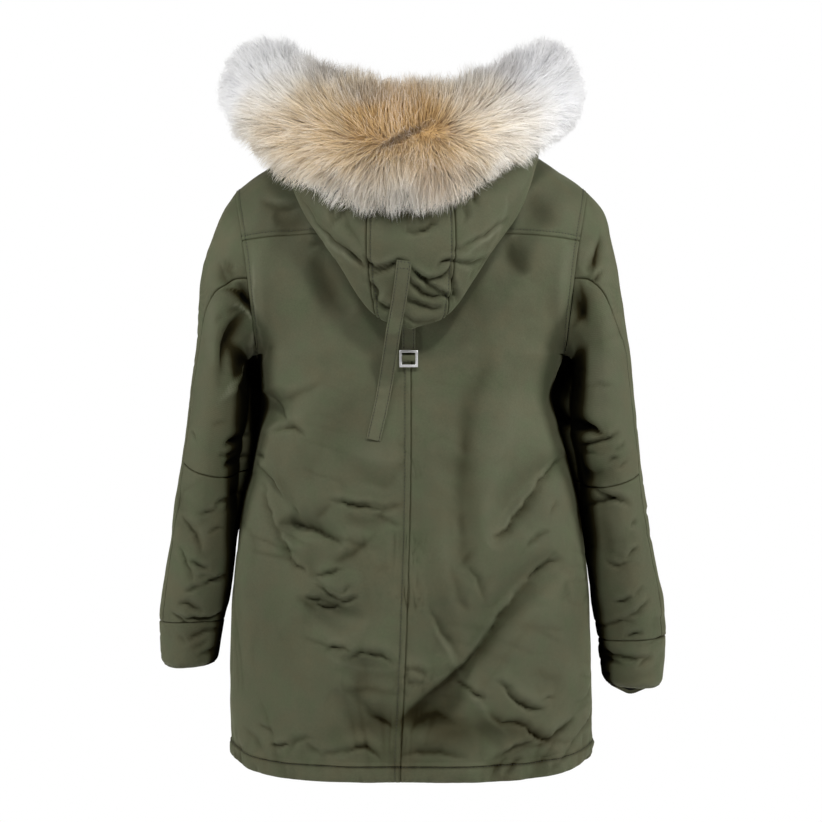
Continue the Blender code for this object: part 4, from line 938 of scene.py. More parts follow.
def furMaterial(name, hairs):
    # hair colour by place on the ruff, from dark wool at the root to a pale tip
    coat = Finish(name, 0.5 if hairs else 0.9)
    split = coat.add("SeparateXYZ", {0: coat.place["Object"]})
    patches = coat.noise(*furFinish["patches"])

    def spot(x, z, halfX, halfZ, slope=0.0):
        # 1 in the middle of an oval spot in the back view, 0 outside it
        beside = coat.maths("SUBTRACT", split.outputs[0], x)
        above = coat.maths("SUBTRACT", coat.maths("SUBTRACT", split.outputs[2], z), coat.times(beside, slope))
        dx, dz = coat.maths("DIVIDE", beside, halfX), coat.maths("DIVIDE", above, halfZ)
        square = coat.maths("ADD", coat.times(dx, dx), coat.times(dz, dz))
        wavy = coat.maths("ADD", square, coat.times(patches, 0.9))
        return coat.ramp(coat.times(wavy, 0.5), (0.25, white), (0.8, black))

    colour = white
    for paint, strength, places in furFinish["spots"]:
        paint = coat.mix(strength, colour, furFinish[paint])
        for place in places:
            colour = coat.mix(spot(*place), colour, paint)
    if hairs:
        chance, along = coat.add("SeparateXYZ", {0: coat.add("UVMap").outputs["UV"]}).outputs[:2]
        middle = spot(*furFinish["darkMiddle"])
        root = coat.mix(middle, furFinish["paleRoot"], furFinish["wool"])
        colour = coat.mix(coat.ramp(along, (0.05, black), (0.55, (0.85,) * 3), (1.0, white)), root, colour)
        tip = coat.ramp(along, (0.6, black), (1.0, white))
        lone = coat.ramp(chance, (0.45, (0.3,) * 3), (0.7, white))
        colour = coat.mix(coat.times(coat.times(tip, lone), 0.85), colour, white)
        faint = coat.ramp(chance, (0.12, (0.88, 0.88, 0.9)), (0.5, white))
        strong = coat.ramp(chance, (0.12, (0.5, 0.43, 0.35)), (0.5, white))
        colour = coat.mix(1.0, colour, coat.mix(middle, faint, strong), "MULTIPLY")
        through = coat.add("BsdfTranslucent", {"Color": colour})
        blend = coat.add("MixShader", {0: furFinish["through"], 1: coat.shader.outputs[0],
                                       2: through.outputs[0]})
        coat.link(blend.outputs[0], coat.nodes["Material Output"].inputs["Surface"])
    else:
        colour = coat.mix(0.75, colour, furFinish["pelt"], "MULTIPLY")
    coat.put(coat.shader, {"Base Color": colour, "Specular IOR Level": 0.3})
    return coat.material


oliveCloth = clothMaterial("olive_cloth", clothFinish["light"], clothFinish["dark"])
strapCloth = clothMaterial("olive_strap", (0.104, 0.108, 0.062), (0.078, 0.081, 0.046))
darkLining = liningMaterial()
threadPaintedShadow = threadMaterial()
sliderMetal = sliderMaterial()
hairFinish = furMaterial("fur_hair", True)
woolFinish = furMaterial("fur_wool", False)


# Panels

def placesAlong(line, low, high, spacing, fine=(0.7, 1.5, 2.6, 4, 5.4, 6.6, 7.8, 10, 13)):
    # parameters at even distances on a line, closer together beside both of its ends
    ends = np.linspace(low, high, 1200)
    points = line(ends)
    lengths = lengthsAlong(points)
    total = lengths[-1]
    near = [place for place in fine if place < total / 2 - spacing / 2]
    count = max(2, round((total - 2 * near[-1]) / spacing))
    count += -(count + 2 * len(near)) % shell["lineEvery"]      # the lining's lines end at the edge too
    middle = np.linspace(near[-1], total - near[-1], count + 1)
    places = np.concatenate([[0], near[:-1], middle, total - np.array(near[-2::-1]), [total]])
    return np.interp(places, lengths, ends)


def borderWeights(distance, reach):
    return np.exp(-(distance / reach)**2)


class Panel:
    # one cut piece: its outer points, their directions outwards and the lengths along its lines

    def __init__(self, name, surface, us, vs, outward, relief, borders, closed):
        self.name, self.us, self.vs, self.closed = name, us, vs, closed
        columnPlaces, rowPlaces = np.meshgrid(us, vs)
        points = surface(columnPlaces, rowPlaces)
        self.outward = outward
        normals = self.directions(points)
        alongU = np.linalg.norm(np.diff(points, axis=1), axis=2)
        alongV = np.linalg.norm(np.diff(points, axis=0), axis=2)
        self.lengthU = np.concatenate([np.zeros((len(vs), 1)), np.cumsum(alongU, axis=1)], axis=1)
        self.lengthV = np.concatenate([np.zeros((1, len(us))), np.cumsum(alongV, axis=0)], axis=0)
        distances = {"low": self.lengthV, "high": self.lengthV[-1:] - self.lengthV,
                     "start": self.lengthU, "end": self.lengthU[:, -1:] - self.lengthU}
        lengthsBeside = {"low": self.lengthU, "high": self.lengthU,
                         "start": self.lengthV, "end": self.lengthV}
        height, tone = relief(points, normals, columnPlaces, rowPlaces)
        drawn = np.zeros_like(height)
        for edge, look in borders.items():
            rise, shade = self.borderHeight(distances[edge], lengthsBeside[edge], look, len(name) + len(edge))
            drawn += rise
            tone = tone + shade
        # painted shade (below zero) and painted light, kept as the cloth's fold attribute
        self.fold = tone
        height = height + drawn
        self.hidden = self.lowestNear(height) - height
        points = points + normals * height[..., None]
        self.points = self.openSeams(points)
        self.normals = self.directions(self.points)

    def lowestNear(self, height):
        # the lowest height within a few lines, so that the lining stays under every crease
        reach = shell["lineEvery"]
        columns = np.pad(height, ((0, 0), (reach, reach)), mode="wrap" if self.closed else "edge")
        lowest = np.min([columns[:, k:k + height.shape[1]] for k in range(2 * reach + 1)], axis=0)
        rows = np.pad(lowest, ((reach, reach), (0, 0)), mode="edge")
        return np.min([rows[k:k + height.shape[0]] for k in range(2 * reach + 1)], axis=0)

    def directions(self, points):
        acrossU = np.gradient(points, axis=1)
        acrossV = np.gradient(points, axis=0)
        if self.closed:
            wrap = (points[:, 1] - points[:, -2]) / 2
            acrossU[:, 0] = acrossU[:, -1] = wrap
        return unit(np.cross(acrossU, acrossV)) * self.outward

    def borderHeight(self, distance, beside, look, seed):
        # a seam drawn in, its stitch rows, the puckers across them, or a rounded edge, with painted shade
        # along the seam and rows and in the puckers' troughs
        height, shade = np.zeros_like(distance), np.zeros_like(distance)
        present = np.ones_like(distance)
        look = {**shell, "dip": shell["stitchDip"], "round": shell["edgeRound"], **look}
        if "from" in look:
            present = smoothStep(look["from"] - look["fade"], look["from"] + look["fade"], beside)
        if "seam" in look:
            height -= look["seam"] * look["seamDip"] * borderWeights(distance, look["seamReach"])
            shade -= look["seam"] * look["seamShade"] * borderWeights(distance, look["seamShadeReach"])
        for row in look.get("stitches", ()):
            height -= present * look["dip"] * borderWeights(distance - row, look["stitchReach"])
            shade -= present * look["rowShade"] * borderWeights(distance - row, look["rowShadeReach"])
            height += present * look["besideRow"] * borderWeights(distance - row / 2, row / 3)
        if "pucker" in look:
            line = stack(beside, seed * 17.3, 0.4 * distance)
            if self.closed:             # both ends of the round piece stay the same
                present = present * smoothStep(0, 24, beside) * smoothStep(0, 24, beside[:, -1:] - beside)
            ripple = softNoise(line, 7, seed) + 0.6 * softNoise(line, 15, seed + 3)
            wave = present * look["pucker"] * ripple * borderWeights(distance, look["puckerReach"])
            height += wave * (1 - borderWeights(distance, shell["stitchReach"]))
            shade += np.minimum(0, wave) * look["puckerShade"]
        if "edge" in look:
            radius = look["round"]
            inside = np.clip(radius - distance, 0, radius)
            height -= radius - np.sqrt(np.maximum(radius**2 - inside**2, 0))
        return height, shade

    def openSeams(self, points):
        pull = np.zeros_like(points)
        pull[0] += unit(points[1] - points[0])
        pull[-1] += unit(points[-2] - points[-1])
        if not self.closed:
            pull[:, 0] += unit(points[:, 1] - points[:, 0])
            pull[:, -1] += unit(points[:, -2] - points[:, -1])
        return points + pull * shell["seamGap"] / 2

    def sample(self, values, u, v):
        # values of the panel's grid between its lines
        column = np.interp(u, self.us, np.arange(len(self.us)))
        row = np.interp(v, self.vs, np.arange(len(self.vs)))
        i = np.clip(row.astype(int), 0, len(self.vs) - 2)
        j = np.clip(column.astype(int), 0, len(self.us) - 2)
        s, t = (row - i), (column - j)
        if values.ndim == 3:
            s, t = s[..., None], t[..., None]
        return ((1 - s) * ((1 - t) * values[i, j] + t * values[i, j + 1])
                + s * ((1 - t) * values[i + 1, j] + t * values[i + 1, j + 1]))

    def lineBeside(self, edge, distance, start=0.0):
        # points and outward directions on a line at a distance from an edge
        upright = edge in ("start", "end")
        spans, stations = (self.lengthU, self.us) if upright else (self.lengthV.T, self.vs)
        wanted = distance if edge in ("start", "low") else spans[:, -1] - distance
        places = np.array([np.interp(place, row, stations)
                           for place, row in zip(np.broadcast_to(wanted, len(spans)), spans)])
        u, v = grids(*((places, self.vs) if upright else (self.us, places)))
        points, normals = self.sample(self.points, u, v), unit(self.sample(self.normals, u, v))
        kept = lengthsAlong(points) >= start
        return points[kept], normals[kept]


def gridVerts(form, points):
    # a grid from Blender's own, with each of its points moved to its place
    rows, columns = points.shape[:2]
    made = bmesh.ops.create_grid(form, x_segments=columns - 1, y_segments=rows - 1, size=0.5)["verts"]
    table = [[None] * columns for _ in range(rows)]
    for vert in made:
        j = round((vert.co.x + 0.5) * (columns - 1))
        i = round((vert.co.y + 0.5) * (rows - 1))
        table[i][j] = vert
    for i in range(rows):
        for j in range(columns):
            table[i][j].co = points[i, j] * mm
    return table


def wallFaces(form, outer, inner, flip):
    # the thickness of the cloth between an outer border line and the coarser inner one
    step = shell["lineEvery"]
    for k in range(len(inner) - 1):
        line = outer[k * step:(k + 1) * step + 1]
        half = len(line) // 2
        made = [[line[m], line[m + 1], inner[k]] for m in range(half)]
        made.append([line[half], inner[k + 1], inner[k]])
        made += [[line[m], line[m + 1], inner[k + 1]] for m in range(half, len(line) - 1)]
        for corners in made:
            form.faces.new(corners[::-1] if flip else corners)


def panelObject(panel):
    form = bmesh.new()
    flow = form.loops.layers.uv.new("cloth")
    # the fold attribute carries the painted shade and painted light to the material
    fold = form.verts.layers.float.new("fold")
    step = shell["lineEvery"]
    outer = gridVerts(form, panel.points)
    outerFaces = set(form.faces)
    sunk = (1.3 * panel.hidden - shell["wall"])[..., None]      # deeper where creases come down to it
    inner = gridVerts(form, (panel.points + panel.normals * sunk)[::step, ::step])
    innerFaces = [face for face in form.faces if face not in outerFaces]
    bmesh.ops.reverse_faces(form, faces=innerFaces if panel.outward > 0 else list(outerFaces))
    for face in innerFaces:
        face.material_index = 1
    place = {}
    for table, every in ((outer, 1), (inner, step)):
        for i, line in enumerate(table):
            for j, vert in enumerate(line):
                spot = i * every, j * every
                place[vert] = (panel.lengthU[spot] * mm, panel.lengthV[spot] * mm)
    for line, values in zip(outer, panel.fold):
        for vert, value in zip(line, values):
            vert[fold] = value
    away = panel.outward > 0
    wallFaces(form, outer[0], inner[0], away)
    wallFaces(form, outer[-1], inner[-1], not away)
    if panel.closed:
        ends = [line[k] for line in outer + inner for k in (0, -1)]
    else:
        for k, flip in ((0, not away), (-1, away)):
            wallFaces(form, [line[k] for line in outer], [line[k] for line in inner], flip)
    for face in form.faces:
        face.smooth = True
        for loop in face.loops:
            loop[flow].uv = place[loop.vert]
    if panel.closed:
        bmesh.ops.remove_doubles(form, verts=ends, dist=0.00001)
    piece = finishPiece(form, panel.name + "_cloth", [oliveCloth, darkLining], panel.name)


def placePiece(mesh, name, materials):
    for material in materials:
        mesh.materials.append(material)
    piece = bpy.data.objects.new(name, mesh)
    bpy.context.scene.collection.objects.link(piece)
    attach(piece, "root")
    return piece


def finishPiece(form, name, materials, node):
    mesh = bpy.data.meshes.new(name)
    form.to_mesh(mesh)
    form.free()
    mesh.set_sharp_from_angle(angle=math.radians(55))
    piece = placePiece(mesh, name, materials)
    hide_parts(node)
    return piece


def cutPiece(name, surface, us, vs, outward, relief, borders, closed=False):
    panels[name] = Panel(name, surface, us, vs, outward, relief, borders, closed)
    panelObject(panels[name])


def sameBorders(look, **others):
    return {**dict.fromkeys(("low", "high", "start", "end"), look), **others}


panels = {}


fineLook = {
    "size": 17,
    "stretch": 4.5,
    "thin": 0.16,
    "depth": 1.9,
    # painted shade in the fine folds' valleys, for each millimetre of their depth
    "tone": 0.12,
    "rumple": [(3.0, 62, 5), (1.3, 27, 9), (0.3, 12, 13)],      # height, width and seed
    "hoodRumple": [(0.9, 55, 21), (0.6, 24, 23), (0.25, 11, 27)],
}


def fineFolds(points, turn, seed):
    # thin valleys that run one way and come and go
    angle = np.radians(turn)
    along = points[..., 0] * np.cos(angle) + points[..., 2] * np.sin(angle)
    across = -points[..., 0] * np.sin(angle) + points[..., 2] * np.cos(angle)
    bend = 5 * softNoise(points, 40, seed + 3)
    level = softNoise(stack(along / fineLook["stretch"], across + bend, points[..., 1] / fineLook["stretch"]),
                      fineLook["size"], seed)
    where = smoothStep(0.0, 0.55, softNoise(points, 55, seed + 7))
    soft = softNoise(stack(along / 3, across + bend, points[..., 1] / 3), 21, seed + 11)
    return -fineLook["depth"] * (np.exp(-(level / fineLook["thin"])**2) * where + 0.5 * soft * where)


def unevenness(points, rows):
    return sum(size * softNoise(points, width, seed) for size, width, seed in rows)


def reliefOf(backTable, frontTable, folds, calm=None, rumple=1.0, broad=creaseLook["broad"], shades=()):
    # creases where the cloth faces back or front, over a soft unevenness, with their painted shade and
    # painted light
    def relief(points, normals, u, v):
        facing = normals[..., 1]
        x, z = points[..., 0], points[..., 2]
        fine = folds(points)
        height = fine + rumple * unevenness(points, fineLook["rumple"])
        tone = fine * fineLook["tone"]
        for table, turned in ((backTable, facing), (frontTable, -facing)):
            rise, shade = creaseHeight(x, z, table, broad)
            height += rise * toward(turned)
            tone += shade * toward(turned)
        tone = np.clip(tone, -1, 1)
        if calm is not None:
            height, tone = height * calm(u, v), tone * calm(u, v)
        return height, tone + shadeOf(x, z, shades) * smoothStep(*creaseLook["tonesFace"], facing)

    return relief


def sideName(side):
    return "left" if side > 0 else "right"


def torsoFolds(points):
    # more of them low down than over the shoulders, slanting in from each side
    x, z = points[..., 0], points[..., 2]
    amount = 0.25 + 0.75 * smoothStep(-330, -470, z) + 0.35 * smoothStep(-690, -740, z)
    leftward = smoothStep(-35, 35, x)
    turn = mix(-45.0, 17.0, leftward)
    return amount * (fineFolds(points, turn, 41) + 0.6 * fineFolds(points, turn + 62, 57))


# painted shade at the body's sides, beside the sleeves: how deep the painted shade is, how far the cloth
# faces sideways, and heights
rimShade = {
    "behind": (-1.8, 0.9, 0.97),
    "inFront": (-1.9, 0.78, 0.95),
    "low": (-520, -430),
    "high": (-110, -160),
}


def torsoRelief(points, normals, u, v):
    # the same on both sides of a seam, calm at the side seam and armhole, with painted shade from the back's
    # shade table and at the sides beside the sleeves
    x, z, facing = points[..., 0], points[..., 2], normals[..., 1]
    height, tone = reliefOf(backCreases, frontCreases, torsoFolds)(points, normals, u, v)
    shade = shadeOf(x, z, backShades) * smoothStep(*creaseLook["tonesFace"], facing)
    height += creaseHeight(x, z, backFolds)[0] * toward(facing)
    beside = np.minimum(1, 5 * (1 - np.abs(u)) + 0.25)
    hem = np.where(v * (body["underarm"] - body["hem"]) < body["hemBand"], body["hemRelief"], 0)
    behind, inFront = (depth * smoothStep(least, most, np.abs(normals[..., 0]))
                       for depth, least, most in (rimShade["behind"], rimShade["inFront"]))
    covered = smoothStep(*rimShade["low"], z) * smoothStep(*rimShade["high"], z)
    rim = np.where(points[..., 1] > 0, behind, inFront) * covered
    return height * beside + hem, tone * beside + shade + rim


def sleeveFolds(points):
    # short folds across the sleeve, most of them at the elbow and above the cuff
    z = points[..., 2]
    amount = 0.5 + 1.0 * np.exp(-((z + 410) / 60)**2) + 1.1 * np.exp(-((z + 590) / 60)**2)
    return amount * (fineFolds(points, np.sign(points[..., 0]) * 12.0, 71)
                     + 0.5 * fineFolds(points, np.sign(points[..., 0]) * -35.0, 83))


# painted shade on the side of each sleeve that faces the body
sleeveShade = {
    "depth": 1.7,
    "from": (0.78, 0.98),   # how far it faces the body where the shade starts and ends
}
seamPlain = {"seam": 1, "pucker": 0.35}
print("surfaces ready")


def armholeLength(side, face):
    # length of a body panel's side below the underarm
    line = torsoBase(side, face, 1.0, np.linspace(0, 1, 60))
    return np.linalg.norm(np.diff(line, axis=0), axis=1).sum()


bodyPieces = {
    "grid": {"back": 2.7, "front": 4.8, "yoke": 3.4},
    "flat": {"back": (0.31, 0.71), "front": (0.32, 0.87), "yoke": (0.56, 0.2)},
    "area": {"back": 0.19, "front": 0.218, "yoke": 0.078},
    "atHem": (0.6, 1.3, 2.1, 4, 8, 13, 17, 19, 20.2, 21.5, 24),     # lines beside the hem and its band
    "sideRow": 6,           # distance of the stitch rows from the seams
    "centreRow": 7.5,
    "yokeRow": 6.5,
    "hem": {"edge": True, "round": 5, "stitches": (body["hemBand"],), "dip": 2.0, "rowShade": 0.45,
            "pucker": 1.8, "puckerReach": 36},
    "underYoke": {"seam": 0.6, "pucker": 0.6},
    "shoulder": {"seam": 1, "stitches": (6,), "pucker": 0.3},
    "armhole": {"seam": 0.3, "stitches": (6,), "pucker": 0.3},
}


def makeBody():
    grid, armhole = bodyPieces["grid"], bodyPieces["armhole"]
    for side in (1, -1):
        centre = {"seam": 0.7, "pucker": 0.35}
        if side > 0:
            centre["stitches"] = (bodyPieces["centreRow"],)
        for part, face, top, inner, high in (("back", 1, 2, centre, bodyPieces["underYoke"]),
                                             ("front", -1, 3, {"seam": 0.6}, bodyPieces["shoulder"])):
            us = placesAlong(lambda u: torsoBase(side, face, u, 0.5), 0, 1, grid[part])
            vs = placesAlong(lambda v: torsoBase(side, face, 0.5, v), 0, top, grid[part], bodyPieces["atHem"])
            borders = {"low": bodyPieces["hem"], "high": high, "start": inner,
                       "end": {**armhole, "from": armholeLength(side, face)}}
            cutPiece(part + "_" + sideName(side), lambda u, v: torsoBase(side, face, u, v), us, vs,
                     -side * face, torsoRelief, borders)
    left = placesAlong(lambda u: torsoBase(1, 1, u, 2.1), 0, 1, grid["yoke"])
    us = np.concatenate([-left[:0:-1], left])
    missing = (len(us) - 1) % shell["lineEvery"]
    if missing:
        us = np.concatenate([us[:len(us) // 2 - 1], us[len(us) // 2 - 1 + missing:]])
    vs = placesAlong(lambda v: torsoBase(1, 1, 0.7, v), 2, 3, grid["yoke"])

    def yokeSurface(u, v):
        return np.where((u >= 0)[..., None], torsoBase(1, 1, np.abs(u), v), torsoBase(-1, 1, np.abs(u), v))

    low = {**bodyPieces["underYoke"], "stitches": (bodyPieces["yokeRow"],)}
    cutPiece("back_yoke", yokeSurface, us, vs, -1, torsoRelief,
             sameBorders(armhole, low=low, high={"seam": 0.8}))


makeBody()
print("body panels made")


sleevePieces = {
    "head": {"seam": 0.3, "pucker": 0.5, "puckerReach": 16},
    "cuffSeams": {"left": 0.4, "right": 0.7},
    "cuffEdge": {"edge": True, "round": 15, "stitches": (5,), "pucker": 0.6},
    "grid": {"top": 4.4, "under": 3.1, "cuffRound": 3.6, "cuff": 3.0},
}


def makeSleeve(side):
    name = sideName(side)
    grid, head = sleevePieces["grid"], sleevePieces["head"]
    rings = np.array(ringsOf(side), dtype=float)
    seamColumn = sleeve["columns"].index("backSeam")
    creases = leftSleeveCreases if side > 0 else rightSleeveCreases
    shades = leftSleeveShades if side > 0 else rightSleeveShades
    # similar ones on the hidden side, a little lower, wider and bowed the other way
    hidden = [(x1, z1 - 18, x2, z2 - 12, -bow, up + 2, down + 2, height * 0.9, power, lip)
              for x1, z1, x2, z2, bow, up, down, height, power, lip in creases]

    def seamAngle(ring):
        return smoothValue(np.arange(len(rings)), rings[:, seamColumn], ring)

    def topPiece(share, ring):
        return sleevePoint(side, mix(sleeve["frontSeam"] - 360, seamAngle(ring), share), ring)

    def underPiece(share, ring):
        bow = sleeve["elbowBow"] * np.exp(-(ring - sleeve["elbow"])**2) * np.sin(np.pi * share)
        bow = bow * np.minimum(1, ring) * np.minimum(1, sleeve["cuff"] - ring)
        return sleevePoint(side, mix(seamAngle(ring), sleeve["frontSeam"], share), ring + bow)

    def cuffPiece(share, ring):
        # all the way round, from the front seam
        return sleevePoint(side, sleeve["frontSeam"] - 360 + 360 * share, ring)

    creased = reliefOf(creases, hidden, sleeveFolds, lambda u, v: np.minimum(1, 0.45 + v * 1.2), 0.8, 1.5,
                       shades)

    def relief(points, normals, u, v):
        # painted shade where it lies close beside the body, and in the armpit
        height, tone = creased(points, normals, u, v)
        inward = -side * normals[..., 0]
        tone -= sleeveShade["depth"] * smoothStep(*sleeveShade["from"], inward)
        armpit = smoothStep(-360, -310, points[..., 2]) * smoothStep(10, -30, points[..., 1])
        return height, tone - sleeveShade["depth"] * armpit * smoothStep(0.05, 0.45, inward)

    rows = placesAlong(lambda ring: topPiece(0.5, ring), 0, sleeve["cuff"], grid["top"])
    us = placesAlong(lambda share: topPiece(share, 6.0), 0, 1, grid["top"])
    cutPiece("sleeve_top_" + name, topPiece, us, rows, -side, relief, sameBorders(seamPlain, low=head))
    us = placesAlong(lambda share: underPiece(share, 6.0), 0, 1, grid["under"])
    for part, start, stop, low, flat, area in (("upper_", 0, sleeve["elbow"], head, (0.22, 0.29), 0.044),
                                               ("lower_", sleeve["elbow"], sleeve["cuff"], seamPlain,
                                                (0.19, 0.22), 0.039)):
        rows = placesAlong(lambda ring: underPiece(0.4, ring), start, stop, grid["under"])
        cutPiece("sleeve_under_" + part + name, underPiece, us, rows, -side, relief,
                 sameBorders(seamPlain, low=low))
    us = placesAlong(lambda share: cuffPiece(share, 12.5), 0, 1, grid["cuffRound"], (1.8, 3.6))
    rows = placesAlong(lambda ring: cuffPiece(0.6, ring), sleeve["cuff"], sleeve["last"], grid["cuff"],
                       (0.6, 1.3, 2.1, 4))
    cutPiece("cuff_" + name, cuffPiece, us, rows, -side, relief,
             {"low": {"seam": sleevePieces["cuffSeams"][name], "pucker": 0.8, "puckerReach": 14},
              "high": sleevePieces["cuffEdge"]}, closed=True)


makeSleeve(1)
makeSleeve(-1)
print("sleeves made")


def makeHood():
    def hoodRelief(points, normals, u, v):
        lying = smoothStep(*hood["lies"], v) * (1 - smoothStep(*hood["calmRim"], v))
        lying = lying * smoothStep(*hood["facing"], normals[..., 1])
        height, tone = creaseHeight(points[..., 0], points[..., 2], hoodCreases)
        rumple = unevenness(points, fineLook["hoodRumple"])
        # painted shade and painted light of the hood's creases and of its shade table
        tone = np.clip(tone, -1, 1) + shadeOf(points[..., 0], points[..., 2], hoodShades)
        return height * lying + rumple * smoothStep(*hood["uneven"], v), tone * lying

    gusset = hood["gusset"]
    grid = hood["grid"]
    rows = np.concatenate([placesAlong(lambda v: hoodBase(20.0, v), 0, 0.5, grid["inside"], (4.5,)),
                           placesAlong(lambda v: hoodBase(20.0, v), 0.5, 1, grid["outside"], (3,))[1:]])
    rows = rows[:len(rows) - (len(rows) - 1) % shell["lineEvery"]]
    rows[-1] = 1
    beside = placesAlong(lambda a: hoodBase(a, 0.62), gusset, 180, grid["sides"])
    middle = placesAlong(lambda a: hoodBase(a, 0.7), -gusset, gusset, grid["centre"])
    seam = {"seam": 1, "pucker": 0.4}
    stitched = {**seam, "stitches": (hood["seamRow"],)}
    for name, angles, borders, flat, area in (
            ("hood_left", beside, {"start": seam}, (0.34, 0.42), 0.08),
            ("hood_centre", middle, {"start": stitched, "end": stitched}, (0.1, 0.47), 0.046),
            ("hood_right", -beside[::-1], {"end": seam}, (0.34, 0.42), 0.08)):
        cutPiece(name, hoodBase, angles, rows, -1, hoodRelief, {**borders, "low": {"seam": 0.6}})


makeHood()
print("hood made")


# Storm flap over the front closure

flap = {
    "edges": (-20, 40),
    "thickness": 2.0,
    "seat": 0.7,
    "row": 6,
    "atEdges": (0.8, 1.6, 3, 5, 6, 7, 9),
}


def flapSurface(x, v):
    # the fronts' surface at a distance from the centre line, moved out by the flap and its seat
    side = np.where(x >= 0, 1, -1)
    tries = np.linspace(0, 0.5, 60)
    points = np.zeros(x.shape + (3,))
    for which in (1, -1):
        rows = torsoBase(which, -1, tries[None, :], v[:, :1])
        for i in range(len(v)):
            u = np.interp(np.abs(x[i]), np.abs(rows[i, :, 0]), tries)
            made = torsoBase(which, -1, u, v[i])
            points[i] = np.where((side[i] == which)[:, None], made, points[i])
    return points


def makeFlap():
    us = placesAlong(lambda x: flapSurface(x[None, :], np.full((1, len(x)), 0.5))[0], *flap["edges"], 4.0,
                     flap["atEdges"])
    vs = placesAlong(lambda v: torsoBase(1, -1, 0.1, v), 0.0, 2.93, 5.0, flap["atEdges"])

    def flapRelief(points, normals, u, v):
        height, tone = torsoRelief(points, normals, u * 0.005, v)
        return height + flap["seat"] + flap["thickness"], tone

    wall = shell["wall"]
    shell["wall"] = flap["thickness"]
    cutPiece("storm_flap", flapSurface, us, vs, 1, flapRelief,
             sameBorders({"edge": True, "stitches": (flap["row"],), "pucker": 0.3}))
    shell["wall"] = wall


makeFlap()
print("storm flap made")


# Strap, tab and slider

strap = {
    "width": 18.5,
    "points": [(8, -141), (11, -165), (15, -190), (20, -216), (25, -246), (30, -276), (36, -310), (47, -358)],
    "drop": (-205, -300),   # heights where it leaves the hood and reaches the back
    "thickness": 2.0,
    "stitchInset": 2.2,
    "above": 0.8,           # how far it lies over the cloth
    "folds": [(-226, 1.3), (-252, -1.0), (-300, 0.9), (-330, -0.6)],    # height and size of soft cross folds
}
tab = {
    "width": 16.8,
    "top": -176,
    "thickness": 1.5,
    "gap": 0.4,             # between its lower layer and the slider's seat
    "above": 0.5,           # over the back where it hangs, and the most it stands off there
    "standsOff": 6,
}
slider = {
    "centre": (3, -257),
    "width": 23,
    "height": 21,
    "bar": 3.1,
    "bevel": 0.7,
}


def panelDepth(name, x, z, lowest=0.0):
    # depth of a panel's outer side at places in the back view
    panel = panels[name]
    flat = panel.points[panel.vs >= lowest].reshape(-1, 3)
    x, z = np.atleast_1d(x), np.atleast_1d(z)
    square = (flat[None, :, 0] - x[:, None])**2 + (flat[None, :, 2] - z[:, None])**2
    nearest = np.argsort(square, axis=1)[:, :4]
    weights = 1 / (np.take_along_axis(square, nearest, axis=1) + 0.3)
    return (flat[nearest, 1] * weights).sum(axis=1) / weights.sum(axis=1)


def backDepth(x, z):
    left = panelDepth("back_left", np.maximum(x, 0.2), z)
    right = panelDepth("back_right", np.minimum(x, -0.2), z)
    return np.where(np.atleast_1d(x) >= 0, left, right)


def stripForm(centres, across, outward, width, thickness, grooves):
    # flat strip with round edges and a groove along each stitch row, with painted shade in the grooves and
    # along the edges
    half = width / 2
    inset = half - grooves
    top = [(-half, 0.5), (-half + 0.35, 0.86), (-half + 1.1, 1.0), (-inset - 0.6, 0.98), (-inset, 0.76),
           (-inset + 0.6, 0.98), (-inset + 2, 1.06), (0, 1.08), (inset - 2, 1.06), (inset - 0.6, 0.98),
           (inset, 0.76), (inset + 0.6, 0.98), (half - 1.1, 1.0), (half - 0.35, 0.86), (half, 0.5)]
    below = [(half - 0.35, 0.12), (half - 1.2, 0.0), (0, 0.0), (-half + 1.2, 0.0), (-half + 0.35, 0.12)]
    section = top + below + top[:1]
    places = np.array(section)
    points = (centres[:, None] + across[:, None] * places[None, :, :1]
              + outward[:, None] * places[None, :, 1:] * thickness)
    form = bmesh.new()
    fold = form.verts.layers.float.new("fold")
    table = gridVerts(form, points)
    # painted shade in the stitch grooves and at the edges, kept as the fold attribute
    shades = -0.2 * (np.abs(np.abs(places[:, 0]) - inset) < 0.1) - 0.9 * (np.abs(places[:, 0]) > half - 0.3)
    for line in table:
        for vert, value in zip(line, shades):
            vert[fold] = value
    flow = form.loops.layers.uv.new("cloth")
    lengths = lengthsAlong(centres)
    place = {vert: (places[j, 0] * mm, lengths[i] * mm) for i, line in enumerate(table)
             for j, vert in enumerate(line)}
    for face in form.faces:
        for loop in face.loops:
            loop[flow].uv = place[loop.vert]
    bmesh.ops.remove_doubles(form, verts=[line[k] for line in table for k in (0, -1)], dist=0.00001)
    bmesh.ops.holes_fill(form, edges=[edge for edge in form.edges if edge.is_boundary])
    bmesh.ops.recalc_face_normals(form, faces=form.faces)
    for face in form.faces:
        face.smooth = True
    return form


def sewStrip(name, node, look, centres):
    along = unit(np.gradient(centres, axis=0))
    outward = unit(np.cross(np.array([1.0, 0, 0]), along))
    across = np.cross(along, outward)
    form = stripForm(centres, across, outward, look["width"], look["thickness"], strap["stitchInset"])
    piece = finishPiece(form, name, [strapCloth], node)
    return centres, across, outward


def makeStrap():
    path = np.array(strap["points"], dtype=float)
    heights = np.linspace(path[0, 1], path[-1, 1], 120)
    x = smoothValue(-path[:, 1], path[:, 0], -heights)
    leave, land = strap["drop"]
    onHood = panelDepth("hood_centre", x, np.maximum(heights, leave), 0.6) + strap["above"]
    onBack = backDepth(x, heights) + strap["above"]
    ease = smoothStep(0, 1, (leave - heights) / (leave - land))
    depth = mix(np.maximum(onHood, onBack), onBack, ease)
    depth = np.convolve(np.pad(depth, 6, mode="edge"), np.ones(13) / 13, mode="valid")
    for middle, size in strap["folds"]:
        depth += size * borderWeights(heights - middle, 6)
    return sewStrip("hood_strap_cloth", "hood_strap", strap, stack(x, depth, heights))


